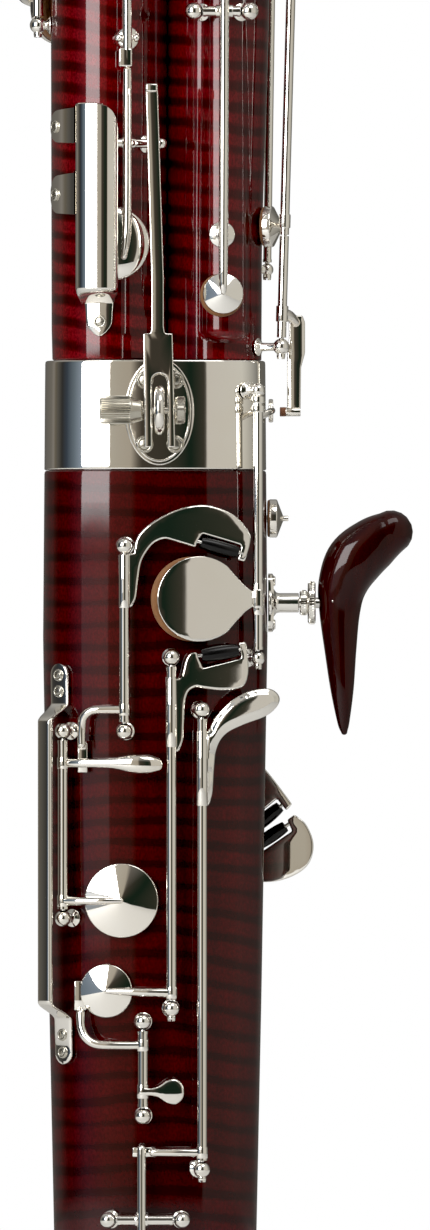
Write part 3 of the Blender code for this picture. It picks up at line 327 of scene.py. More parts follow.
def rod(start, end, radius, end_radius=None, edge=0.25, count=28):
    """A round bar with eased ends."""
    start, end = Vector(start), Vector(end)
    length = (end - start).length
    far = end_radius or radius
    edge = min(edge, radius * 0.45, length * 0.3)
    profile = [(0, 0), (radius, 0), (far, length), (0, length)]
    return turned(profile, start, end - start, count, edge, 2)


def pipe(start, end, outer, bore, count=32):
    axis = Vector(end) - Vector(start)
    return loft([circle(start, axis, outer, count), circle(end, axis, outer, count),
        circle(end, axis, bore, count), circle(start, axis, bore, count)], looped=True)


def ball(centre, radius, count=32, rows=18, axis=UP):
    profile = [(0 if i in (0, rows) else radius * sin(pi * i / rows), -radius * cos(pi * i / rows))
        for i in range(rows + 1)]
    return lathe(profile, centre, axis, count)


def frames_along(points):
    points = [Vector(p) for p in points]
    tangents = []
    for i in range(len(points)):
        before, after = points[max(i - 1, 0)], points[min(i + 1, len(points) - 1)]
        tangents.append((after - before).normalized())
    first = side_axes(tangents[0])[0]
    frames = []
    for tangent in tangents:
        first = (first - first.dot(tangent) * tangent).normalized()
        frames.append((tangent, first, tangent.cross(first)))
    return frames


def spread(values, count):
    """Reads a smooth curve through a list of values at a number of even places."""
    made = []
    last = len(values) - 1
    for i in range(count):
        place = i * last / (count - 1)
        k = min(int(place), last - 1)
        before, after = values[max(k - 1, 0)], values[min(k + 2, last)]
        made.append(curve(before, values[k], values[k + 1], after, place - k))
    return made


def sweep(points, radii, flatten=1.0, count=24, cap=1.0):
    """A bar of changing radius along a path with rounded ends; flatten squeezes it along Y."""
    points = [Vector(p) for p in points]
    radii = spread(radii, len(points)) if hasattr(radii, "__len__") else [radii] * len(points)
    frames = frames_along(points)
    stations = list(zip(points, radii, frames))
    quarter = [radians(a) for a in (20, 40, 60, 78)]

    def rounded_end(k, way):
        return [(points[k] + way * frames[k][0] * radii[k] * cap * sin(a), radii[k] * cos(a),
            frames[k]) for a in quarter]

    rings = []
    for point, radius, (_, *sides) in rounded_end(0, -1)[::-1] + stations + rounded_end(-1, 1):
        ring = ring_at(Vector(), *sides, radius, count)
        rings.append([point + Vector((p.x, p.y * flatten, p.z)) for p in ring])
    return loft(rings)


def bar(points, radii, *shape):
    """A swept bar along a smooth path through a few points."""
    return sweep(path(points), radii, *shape)


def hollow_sweep(points, outer, bore, count=32):
    rows = []
    for radii, order in ((outer, 1), (bore, -1)):
        rows += [ring_at(Vector(p), first, second, r, count) for p, r,
            (_, first, second) in zip(points, radii, frames_along(points))][::order]
    return loft(rows, looped=True)


def curve(p0, p1, p2, p3, t):
    return 0.5 * (2 * p1 + (p2 - p0) * t + (2 * p0 - 5 * p1 + 4 * p2 - p3) * t * t
        + (3 * p1 - p0 - 3 * p2 + p3) * t ** 3)


def smooth(points, steps=8):
    """A smooth closed outline; a point with a third entry is a corner, eased a little."""
    made = []
    total = len(points)
    ease = 0.7
    for i in range(total):
        p0, p1, p2, p3 = (points[(i + k) % total] for k in (-1, 0, 1, 2))
        previous, a, b, following = (Vector(p[:2]) for p in (p0, p1, p2, p3))
        corner, next_corner = len(p1) > 2, len(p2) > 2
        if corner:
            reach = min(ease, (previous - a).length * 0.4, (b - a).length * 0.4)
            start, end = (a + (p - a).normalized() * reach for p in (previous, b))
            made += [bend(start, a, end, t) for t in (0, 0.33, 0.67, 1)]
        before, after = a if corner else previous, b if next_corner else following
        for s in range(1 if corner else 0, 1 if corner and next_corner else steps):
            made.append(curve(before, a, b, after, s / steps))
    return made


def path(points, steps=7):
    """A smooth open line through points."""
    points = [Vector(p) for p in points]
    last = len(points) - 1
    made = []
    for i in range(last):
        before, after = points[max(i - 1, 0)], points[min(i + 2, last)]
        made += [curve(before, points[i], points[i + 1], after, s / steps) for s in range(steps)]
    return made + [points[-1]]


def inset(outline, distance):
    """Moves a counter-clockwise outline inwards, mitred at its corners."""
    made = []
    total = len(outline)
    for i in range(total):
        before, here, after = (Vector(outline[(i + k) % total]) for k in (-1, 0, 1))
        into, out = (here - before).normalized(), (after - here).normalized()
        normal = Vector((-(into + out).y, (into + out).x)).normalized()
        square = max(0.5, normal.dot(Vector((-out.y, out.x))))
        made.append(here + normal * distance / square)
    return made


def area(outline):
    return 0.5 * sum(a[0] * b[1] - b[0] * a[1] for a, b in zip(outline, outline[1:] + outline[:1]))


def fill(outline, step):
    """Triangles over an outline, with inner points on a grid so that the face can bend."""
    inner = inset(outline, step * 0.6)
    xs, zs = [p[0] for p in outline], [p[1] for p in outline]
    points = [Vector(p) for p in outline]
    count_x, count_z = int((max(xs) - min(xs)) / step), int((max(zs) - min(zs)) / step)
    for i in range(1, count_x + 1):
        for k in range(1, count_z + 1):
            spot = (min(xs) + i * step, min(zs) + k * step)
            if within(spot, inner):
                points.append(Vector(spot))
    total = len(outline)
    edges = [(i, (i + 1) % total) for i in range(total)]
    verts, _, faces, _, _, _ = delaunay_2d_cdt(points, edges, [list(range(total))], 1, 1e-5)
    return verts, faces


def within(spot, outline):
    x, z = spot
    inside = False
    for a, b in zip(outline, outline[1:] + outline[:1]):
        if (a[1] > z) != (b[1] > z) and x < a[0] + (z - a[1]) * (b[0] - a[0]) / (b[1] - a[1]):
            inside = not inside
    return inside


def away(spot, outline):
    """How far a spot inside an outline is from its nearest side."""
    nearest = 1e9
    for a, b in zip(outline, outline[1:] + outline[:1]):
        side = b - a
        share = min(1.0, max(0.0, (spot - a).dot(side) / max(side.length_squared, 1e-9)))
        nearest = min(nearest, (spot - a - side * share).length)
    return nearest


def plate(outline, thickness, middle, edge=0.5, step=2.0, crown=0.0, reach=3.2):
    """An outline in X and Z with eased rims, thickened along Y about the surface y = middle(x, z).

    A crown makes the front face rise from its rim like a thumb key's, over a width of reach."""
    outline = [Vector(p[:2]) for p in outline]
    if area(outline) < 0:
        outline.reverse()
    half = thickness / 2
    edge = min(edge, half * 0.98)
    bm = bmesh.new()
    rows = []
    angles = [radians(a) for a in (90, 65, 40, 18, 0)]
    for side in (1, -1):
        for a in angles[::side]:
            depth = side * (half - edge + edge * sin(a))
            line = inset(outline, edge * (1 - cos(a)))
            rows.append([bm.verts.new((p.x, middle(p.x, p.y) - depth, p.y)) for p in line])
    bridge(bm, rows)
    face_line = inset(outline, edge)
    verts, faces = fill(face_line, step)
    for side, rim in ((1, rows[0]), (-1, rows[-1])):
        made = list(rim)
        for v in verts[len(rim):]:
            rise = 0.0
            if crown and side == 1:
                off_rim = min(1.0, away(Vector(v[:2]), face_line) / reach)
                rise = crown * sqrt(1 - (1 - off_rim) ** 2)
            made.append(bm.verts.new((v[0], middle(v[0], v[1]) - side * half - rise, v[1])))
        for face in faces:
            corners = [made[i] for i in face]
            if len(set(corners)) > 2:
                bm.faces.new(corners)
    return bm


def leaning(hinge, lean, lift=0.0, bow=0.0, centre=(0, 0), span=30.0):
    """A plate's middle surface: a plane leaning back from its hinge line, bowed about a centre."""
    hinge_x, hinge_y = hinge[:2]
    slope = sin(radians(lean))

    def middle(x, z):
        dome = bow * (((x - centre[0]) / span) ** 2 + 0.35 * ((z - centre[1]) / span) ** 2)
        return hinge_y - lift + (x - hinge_x) * slope + dome

    return middle


def box(low, high, edge=0.3):
    """A block with eased edges."""
    (x0, y0, z0), (x1, y1, z1) = low, high
    bm = loft([[(x0, y0, z), (x1, y0, z), (x1, y1, z), (x0, y1, z)] for z in (z0, z1)])
    bmesh.ops.bevel(bm, geom=bm.edges[:], offset=edge, segments=3, affect="EDGES", profile=0.5)
    return bm


def cup(centre, normal, radius, rim=2.2, rise=2.4, domed=False):
    """A pad cup: a low wall, an eased shoulder and a coned top, or a domed one."""
    wall = [(0, 0.9), (radius - 0.9, 0.9), (radius - 0.5, 0.1), (radius, 0.2)]
    if domed:
        shoulder = rim * 0.6
        dome = [(radius * cos(a), shoulder + (rim * 0.4 + rise) * sin(a))
            for a in (0.12 * i for i in range(2, 13))]
        profile = wall + [(radius, shoulder)] + dome + [(0, rim + rise)]
        return lathe(profile, centre, normal, 64)
    top = [(radius, rim), (1.0, rim + rise - 0.25), (0, rim + rise)]
    return turned(wall + top, centre, normal, 64, 0.45, 4)


def pad(centre, normal, radius, thickness=2.0):
    """The leather pad that stands out of a cup, with a soft bulge."""
    profile = [(0, -thickness), (radius * 0.8, -thickness), (radius - 0.5, -thickness * 0.85),
        (radius, -thickness * 0.45), (radius - 0.1, 0.3), (radius - 0.9, 1.0), (0, 1.0)]
    return turned(profile, centre, normal, 56, 0.5)


def screw_head(centre, axis, radius, height=0.9, turn=0.0, slot=0.5):
    """A slotted head: two half-moons on a disc."""
    centre, axis = Vector(centre), Vector(axis).normalized()
    first, second = side_axes(axis)
    first, second = (cos(turn) * first + sin(turn) * second, cos(turn) * second - sin(turn) * first)
    parts = [rod(centre, centre + axis * height * 0.45, radius, edge=0.08)]
    start = atan2(slot / 2, sqrt(radius ** 2 - (slot / 2) ** 2))
    arc = [start + (pi - 2 * start) * i / 14 for i in range(15)]
    for side in (1, -1):
        ring = [centre + first * radius * cos(a) * side + second * radius * sin(a) * side
            for a in arc]
        low, shoulder = ([p + axis * height * share for p in ring] for share in (0.3, 0.86))
        top = [centre + (p - centre) * 0.9 + (second * side * slot * 0.05) + axis * height
            for p in ring]
        parts.append(loft([low, shoulder, top]))
    return parts


def button_screw(centre, axis, radius, height=1.1, turn=0.0):
    """A round head with a rolled rim and a slot across its low crown."""
    shares = ((0, 0), (1, 0), (1, 0.45), (0.82, 0.9), (0.66, 0.85), (0.6, 0.5), (0, 0.55))
    profile = [(radius * r, height * h) for r, h in shares]
    axis = Vector(axis).normalized()
    inner = Vector(centre) + axis * height * 0.42
    slotted = screw_head(inner, axis, radius * 0.56, height * 0.42, turn, radius * 0.16)
    return [turned(profile, centre, axis, 40), *slotted]


# ---- the wooden bodies' surfaces ----

def between(rows, z):
    for low, high in zip(rows, rows[1:]):
        if z <= high[0]:
            share = max(0.0, (z - low[0]) / (high[0] - low[0]))
            return [a + (b - a) * share for a, b in zip(low[1:], high[1:])]
    return list(rows[-1][1:])


def eased(rows, z):
    """A smooth curve through a table of radii by height."""
    low = max((i for i, row in enumerate(rows[:-1]) if row[0] <= z), default=0)
    t = min(1.0, max(0.0, (z - rows[low][0]) / (rows[low + 1][0] - rows[low][0])))
    t = t * t * (3 - 2 * t) * 0.35 + t * 0.65
    return [a + (b - a) * t for a, b in zip(rows[low][1:], rows[low + 1][1:])]


def boot_point(z, turn, shrink=0.0):
    wide = between(BOOT_WIDTHS, z)[0]
    deep = wide * BOOT_DEPTH_RATIO - shrink
    c, s = cos(turn), sin(turn)
    power = 2 / BOOT_SQUARENESS
    return Vector((copysign((wide - shrink) * abs(c) ** power, c),
        copysign(deep * abs(s) ** power, s), z))


def even_turns(count=128):
    """Turns that space points evenly round the boot's outline."""
    fine = [2 * pi * i / 2048 for i in range(2049)]
    points = [boot_point(300, t) for t in fine]
    lengths = [0.0]
    for a, b in zip(points, points[1:]):
        lengths.append(lengths[-1] + (b - a).length)
    made, k = [], 0
    for i in range(count):
        goal = lengths[-1] * i / count
        while lengths[k + 1] < goal:
            k += 1
        made.append(fine[k] + (fine[k + 1] - fine[k]) * (goal - lengths[k]) / (lengths[k
            + 1] - lengths[k]))
    return made


BOOT_TURNS = even_turns()


def boot_ring(z, shrink=0.0, at=None):
    ring = [boot_point(z, t, shrink) for t in BOOT_TURNS]
    for p in ring:
        p.z = z if at is None else at
    return ring


def boot_foot(point):
    """The place on the boot's side next to a point."""
    ring = (boot_point(point[2], t) for t in turns(1440))
    return min(ring, key=lambda p: hypot(p.x - point[0], p.y - point[1]))


def round_foot(point, centre_x, radius):
    out = Vector((point[0] - centre_x, point[1])).normalized()
    return Vector((centre_x + radius * out.x, radius * out.y, point[2]))


def wing_surface(z, turn):
    """The wing joint's radius about its middle: a round body with the thumb's raised land on it."""
    centre_x, radius = eased(WING_BODY, z)
    # The joints all but touch, so the wing joint swells a little where it faces the long joint.
    radius += 0.8 * max(0.0, -cos(turn)) ** 12
    if not LAND_LOW < z < LAND_HIGH:
        return radius
    # The land is a round bar let into the body; it ends in a rounded foot and a long slope.
    foot_length, slope_length, foot_depth, blend = 5.5, 60.0, 3.5, 0.8
    foot = sqrt(max(0.0, 1 - (1 - min(1.0, (z - LAND_LOW) / foot_length)) ** 2))
    slope = min(1.0, (LAND_HIGH - z) / slope_length)
    land_r = LAND_R * (0.35 + 0.65 * foot) * (0.5 + 0.5 * slope)
    dx, dy = LAND_X - centre_x, LAND_Y
    along = dx * cos(turn) + dy * sin(turn)
    off = abs(dx * sin(turn) - dy * cos(turn))
    if off >= land_r or along < 0:
        return radius
    reach = along + sqrt(land_r ** 2 - off ** 2) - (1 - foot) * foot_depth
    gap = (radius - reach) / blend
    if abs(gap) > 4:
        return radius if gap > 0 else reach
    h = min(1.0, max(0.0, 0.5 + 0.5 * gap / 2))
    return reach + (radius - reach) * h + blend * h * (1 - h)


def wing_foot(point):
    x, y, z = point
    centre_x = between(WING_BODY, z)[0]
    turn = atan2(y, x - centre_x)
    reach = wing_surface(z, turn)
    return Vector((centre_x + reach * cos(turn), reach * sin(turn), z))


def long_foot(point):
    return round_foot(point, LONG_X, between(LONG_BODY, point[2])[0])


def bell_foot(point):
    return round_foot(point, LONG_X, between(BELL_BODY, point[2])[0])


# ---- key parts and pieces ----

def post(point, foot, ball_radius=BALL_R):
    """A ball on a turned stem that stands on a body."""
    point = Vector(point)
    reach = (point - foot).length
    profile = [(0, GAP), (FLANGE_R, GAP), (FLANGE_R, GAP + 0.5), (FLANGE_R - 0.9, GAP + 1.0),
        (STEM_R, GAP + 1.7), (STEM_R * 0.92, reach * 0.55), (STEM_R, reach - 1.0), (0, reach - 1.0)]
    return [ball(point, ball_radius), turned(profile, foot, point - foot, 36, 0.35)]


def axle(name, low, high, foot_of, screw_end=None, balls=(BALL_R, BALL_R)):
    """Two ball posts, the steel rod between them and the rod's slotted end."""
    low, high = Vector(low), Vector(high)
    along = (high - low).normalized()
    parts = post(low, foot_of(low), balls[0]) + post(high, foot_of(high), balls[1])
    if screw_end:
        end, out = (low, -along) if screw_end == "low" else (high, along)
        parts.append(rod(end + out * (balls[0] - 0.5), end + out * (balls[0] + 0.8), 1.6,
            edge=0.12))
        parts += screw_head(end + out * (balls[0] + 0.3), out, 1.5, 1.2)
    piece(name, parts, ROOT, [name])
    piece(name + "_core", [rod(low - along * 0.5, high + along * 0.5, AXLE_R)], ROOT, look="steel")


def hinge(low, high, radius=TUBE_R, balls=(BALL_R, BALL_R)):
    """The tube between two posts, with a thicker band at each end."""
    low, high = Vector(low), Vector(high)
    along = (high - low).normalized()
    start, end = low + along * (balls[0] + END_PLAY), high - along * (balls[1] + END_PLAY)
    bands = [pipe(a, a + d * along, radius + 0.16, TUBE_BORE) for a,
        d in ((start, 1.1), (end, -1.1))]
    return [pipe(start, end, radius, TUBE_BORE), *bands]


def sleeve(low, high, z, half=2.2, radius=TUBE_R + 0.3):
    """The thicker collar that an arm is soldered to, at a height on a nearly vertical axle."""
    low, high = Vector(low), Vector(high)
    along = (high - low).normalized()
    middle = low + (high - low) * ((z - low.z) / (high.z - low.z))
    return rod(middle - along * half, middle + along * half, radius, edge=0.35)


def linked(name, data):
    made = bpy.data.objects.new(name, data)
    bpy.context.scene.collection.objects.link(made)
    return made


def piece(name, shapes, body, nodes=(), look="silver", angle=38):
    """Joins shapes into one mesh that rides a body and may stand for CAD nodes."""
    whole = bmesh.new()
    for shape in shapes:
        bmesh.ops.recalc_face_normals(shape, faces=shape.faces)
        part = bpy.data.meshes.new("part")
        shape.to_mesh(part)
        shape.free()
        whole.from_mesh(part)
        bpy.data.meshes.remove(part)
    bmesh.ops.scale(whole, vec=(MM, MM, MM), verts=whole.verts)
    mesh = bpy.data.meshes.new(name)
    whole.to_mesh(mesh)
    whole.free()
    finish, slot = LOOKS[look]
    mesh.materials.append(finish)
    mesh.shade_smooth()
    mesh.set_sharp_from_angle(angle=radians(angle))
    made = linked(name if name not in nodes else name + "_look", mesh)
    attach(made, body)
    if nodes:
        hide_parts(*nodes)
    return made


# ---- wood, bocal, strap ring, guards and hand rest ----

def mover(name, shapes, body, look="silver"):
    """A piece that stands for the whole of a moving body."""
    piece(name, shapes, body, [body], look)


def leather_pad(name, body, *shape):
    piece(name, [pad(*shape)], body, look="leather")


def long_ring(z, radius):
    return circle((LONG_X, 0, z), UP, radius, 96)


def wing_point(z, turn, reach):
    centre_x = eased(WING_BODY, z)[0]
    return Vector((centre_x + reach * cos(turn), reach * sin(turn), z))


def bodies():
    wood = [(CAP_TOP - 3, 2.4), (CAP_TOP + GAP, 2.4), (CAP_TOP + GAP, 0.4), (CAP_TOP + 0.8, 0)]
    wood += [(WOOD_LOW + 10 * i, 0) for i in range(1, 36)]
    wood += [(COLLAR_LOW - 1.6, 0), (COLLAR_LOW - 0.7, 0.15), (COLLAR_LOW - GAP, 0.6),
        (COLLAR_LOW - GAP, 2.2), (BOOT_TOP - GAP, 2.2)]
    piece("boot_wood", [loft([boot_ring(*ring) for ring in wood])], ROOT, ["boot_body"],
        "boot_wood")

    collar = [(COLLAR_LOW, 0.3), (COLLAR_LOW + 0.25, 0.06), (COLLAR_LOW + 0.6, 0),
        (COLLAR_LOW + 1.5, 0.03), (425, 0.2), (BOOT_TOP - 1.2, 0.33), (BOOT_TOP - 0.5, 0.4),
        (BOOT_TOP - 0.15, 0.6), (BOOT_TOP, 0.95), (BOOT_TOP, 6), (BOOT_TOP - 0.8, 6),
        (COLLAR_LOW, 2)]
    band = loft([boot_ring(*ring) for ring in collar], looped=True)
    piece("boot_collar_band", [band], ROOT, ["boot_collar"], angle=50)
    top = loft([boot_ring(BOOT_TOP, 5.9, BOOT_TOP - under) for under in (0.6, 0.05)])
    piece("boot_top_face", [top], ROOT, look="joint_wood")

    cap = [(0, 4.2), (0.4, 2.6), (1.4, 1.3), (3.4, 0.35), (6, 0), (30, -0.15), (37.5, -0.2),
        (38.2, -0.5), (39, -0.8), (40.5, -0.85), (42, -0.8), (42.6, -0.4), (CAP_TOP - 0.4, -0.2),
        (CAP_TOP, 0.2), (CAP_TOP, 1.3), (3.4, 1.4)]
    piece("boot_cap_shell", [loft([boot_ring(*ring) for ring in cap])], ROOT, ["boot_cap"],
        angle=50)


def joints():
    rings = [(438, 16.2), (440.35, 16.2), (440.35, 21.1), (440.8, 21.55)]
    rings += [(z, eased(LONG_BODY, z)[0] + 0.2) for z in (440.3 + 12 * i for i in range(1, 49))]
    rings += [(1029.6, 19.5), (1030, 19), (1030, 16), (1062, 16)]
    piece("long_joint_wood", [loft([long_ring(*ring) for ring in rings])], ROOT, ["long_joint"],
        "joint_wood")

    # The wing joint is measured from its own middle, so that the land swells out of it smoothly.
    heights = [440.6 + 0.6 * i for i in range(45)] + [468 + 6 * i for i in range(69)]
    rings = [[wing_point(z, t, wing_surface(z, t) + finger_wing(z, t)) for t in turns(192)]
        for z in heights]

    def pulled(ring, share, z):
        return [Vector((WING_X + (p.x - WING_X) * share, p.y * share, z)) for p in ring]

    first, last = rings[0], rings[-1]
    rings = [pulled(first, 0.7, 439.8), pulled(first, 0.98, 440.3), *rings,
        pulled(last, 0.97, 884.6), pulled(last, 0.8, 884.7)]
    piece("wing_joint_wood", [loft(rings)], ROOT, ["wing_joint"], "joint_wood")
    band = [(11.5, 0), (14.2, 0), (14.6, 0.5), (14.6, 3), (14.2, 3.4), (14.2, 15.2), (14.7, 15.8),
        (14.7, 18.6), (14.2, 19), (12.4, 19), (11.6, 18.2), (11.4, 0.2), (11.5, 0)]
    piece("wing_socket_band", [turned(band, (WING_X, 0, 885), UP, 72, 0.25, 2)], ROOT,
        ["wing_socket_ring"])

    bell = [(1030.4, 23.2), (1030.9, 24), (1047.5, 23.9), (1048.6, 23.2), (1049.2, 22.5)]
    bell += [(z, eased(BELL_BODY, z)[0]) for z in range(1052, 1324, 6)]
    bell += [(1323.4, 24.5), (1324, 24.2), (1324, 19.5), (1200, 18.5), (1064.5, 15.2),
        (1064.5, 16.4), (1030.4, 16.4)]
    rim = [(1324.3, 24.2), (1324.8, 24.9), (1326, 26.4), (1328.5, 27.4), (1331.5, 27.7),
        (1334.5, 27.6), (1337.2, 26.9), (1339, 25.7), (BELL_TOP, 24), (BELL_TOP, 22),
        (1339.4, 20.8), (1338, 19.9), (1324.3, 19.6)]
    wood, ring = (loft([long_ring(*row) for row in rows], looped=True) for rows in (bell, rim))
    piece("bell_wood", [wood], ROOT, ["bell"], "joint_wood")
    piece("bell_ring", [ring], ROOT, ["bell_rim"], "ring", 60)


def finger_wing(z, turn):
    """How far the front of the wing joint swells where its finger holes are."""
    low, high, run_in, run_out, swell = 545, 880, 70, 90, 13.5
    middle, half = radians(100), radians(75)
    if not low < z < high:
        return 0
    rise = min(1, (z - low) / run_in) * min(1, (high - z) / run_out)
    rise = rise * rise * (3 - 2 * rise)
    off = abs((turn - middle + pi) % (2 * pi) - pi)
    side = max(0, 1 - (off / half) ** 2)
    return swell * rise * side * side


def bocal():
    bend_line = path([(WING_X, 0, 872), (WING_X, 0, 935), (WING_X, -8, 962), (WING_X, -32, 985),
        (22, -70, 996), (21, -110, 992), (19, -150, 975), (17, -184, 956), (16, -208, 950.2),
        (16, -222, 949.9)], 8)
    outer = [4.6 - 2 * i / (len(bend_line) - 1) for i in range(len(bend_line))]
    tube = hollow_sweep(bend_line, outer, [r - 0.7 for r in outer])
    side, stem = Vector((0.47, -0.88, 0)), Vector((WING_X, 0, 917))
    nib = rod(stem + side * 3.9, stem + side * 6.6, 1.5)
    band = turned([(0, 0), (5.4, 0), (5.4, 3), (4.5, 3.6), (0, 3.6)], (WING_X, 0, 904.6), UP,
        radius=0.4)
    mover("bocal_tube", [tube, nib, band], "bocal", "nickel")
    cork = turned([(0, 0), (5.4, 0), (5.4, 18), (0, 18)], (WING_X, 0, 885.6), UP, radius=0.5)
    piece("bocal_cork", [cork], "bocal", look="cork")
    reed_x, reed_y, reed_z = 16, -222, 949.9
    blades = [(4, 3.9, 3.9), (7, 4, 3.9), (10, 4.2, 3.6), (13, 4.6, 3.2), (16, 5.2, 2.8),
        (22, 6.1, 2.2), (28, 6.9, 1.6), (34, 7.4, 1), (38, 7.4, 0.6)]
    rings = [[(reed_x + wide * cos(a), reed_y - along, reed_z + thick * sin(a)) for a in turns(48)]
        for along, wide, thick in blades]
    piece("reed_blades", [loft(rings)], "bocal", ["reed"], "cane")
    pitch = 1.05
    thread = [(0, 0), (3.7, 0), (4.05, 0.45), (4.05, 0.6), (3.7, pitch), (0, pitch)]
    binding = [lathe(thread, (reed_x, reed_y + 10 - k * pitch, reed_z), BACK, 40)
        for k in range(14)]
    piece("reed_binding", binding, "bocal", look="thread")


def strap_and_hanger():
    face = -boot_point(420, 0).x * BOOT_DEPTH_RATIO
    wide, tall, across, up = 13, 20, 1.7, 420.5

    def oval(count, less=0):
        return [(across + (wide - less) * cos(a), up + (tall - less) * sin(a))
            for a in turns(count)]

    def on_collar(x, z):
        return -front_depth(x, z) - 0.9

    # A raised bead follows the rim.
    bead = loop_tube([(x, on_collar(x, 420) - 0.55, z) for x, z in oval(96, 1.6)], 0.45)
    piece("strap_plate", [plate(oval(72), 1.2, on_collar, edge=0.4), bead], ROOT,
        ["strap_ring_plate"])
    heads = []
    for k, (x, z) in enumerate((x, z) for x in (-3.8, 7.7) for z in (408.3, 432.3)):
        heads += button_screw((x, on_collar(x, z) - 0.3, z), BACK, 3.3, height=1.5, turn=0.6 + k)
    piece("strap_plate_screws", heads, ROOT, look="brushed")
    middle = Vector((1.8, face - 9.6, 421))
    ring = [middle + 7.2 * Vector((0, sin(a), cos(a))) for a in turns(72)]
    piece("strap_ring", [loop_tube(ring, 1.9, 24)], ROOT)

    screw_y, screw_z = face - 9, 421
    arm = [(-4.4, 449.5, 1), (-1.6, 449.6, 1), (-1.3, 452, 1), (-1.3, 470, 1), (-3.4, 541, 1),
        (1.1, 543, 1), (3.4, 470, 1), (3.4, 452, 1), (3.8, 449.6, 1), (6.7, 449.5, 1),
        (7.6, 407, 1), (5, 407, 1), (4.9, 430.5, 1), (4.3, 433.4), (1.8, 434.6), (-0.7, 433.4),
        (-1.2, 430.5, 1), (-1, 407, 1), (-3.7, 407, 1)]
    flat = plate(smooth(arm, 6), 2.6, lambda x, z: screw_y - 0.8, edge=0.45, step=3)
    hook = box((-3.4, screw_y - 7.5, 539.4), (1.1, screw_y - 0.6, 542.6), edge=0.7)
    piece("hanger_bar", [flat, hook], "hanger", ["hanger_arm"])
    at = (0, screw_y, screw_z)
    barrel = turned([(0, -20.6), (4.5, -20.6), (4.9, -20.2), (4.9, -9), (4.6, -8.4), (3.8, -5.6),
        (3.6, -4.9), (0, -4.9)], at, RIGHT, 60, 0.25)
    ridges = knurl(at, RIGHT, 4.9, low=-20.4, high=-9, count=32, size=0.42)
    shaft = rod((-6, screw_y, screw_z), (11.6, screw_y, screw_z), 1.1)
    nut = []
    for x, reach in ((8, 4), (8.5, 4.6), (10.9, 4.6), (11.4, 4), (11.4, 2.2), (10.9, 2)):
        # Squarish: a round corner between flat sides.
        u, v = ([reach * (0.75 * f(a) + 0.35 * f(a) ** 3) for a in turns(40, 0.5)]
            for f in (cos, sin))
        nut.append([Vector((x, screw_y + y, screw_z + z)) for y, z in zip(u, v)])
    mover("hanger_thumbscrew", [barrel, *ridges, shaft, loft(nut)], "hanger_screw", "brushed")


def front_depth(x, z):
    """How far the boot's back face stands from the middle at a place across it."""
    a = between(BOOT_WIDTHS, z)[0]
    b = a * BOOT_DEPTH_RATIO
    return b * (1 - min(0.999, abs(x) / a) ** BOOT_SQUARENESS) ** (1 / BOOT_SQUARENESS)


def loop_tube(points, radius, count=16):
    """A closed ring of wire through points."""
    points = [Vector(p) for p in points]
    total = len(points)
    middle = sum(points, Vector()) / total
    rings = []
    for i in range(total):
        tangent = (points[(i + 1) % total] - points[i - 1]).normalized()
        out = points[i] - middle
        out = (out - out.dot(tangent) * tangent).normalized()
        rings.append(ring_at(points[i], out, tangent.cross(out), radius, count))
    return loft(rings, looped=True)


def knurl(centre, axis, radius, low, high, count, size):
    """Straight ridges round a thumbscrew."""
    axis = Vector(axis).normalized()
    made = []
    for out in ring_at(Vector(), *side_axes(axis), 1, count):
        across = axis.cross(out)
        rings = []
        for along, share in ((low, 0.2), (low + 0.5, 1), (high - 0.5, 1), (high, 0.2)):
            point = Vector(centre) + out * radius + axis * along
            half, root = across * size * share, point - out * 0.3
            rings.append([root + half, point + out * size * share, root - half])
        made.append(loft(rings))
    return made


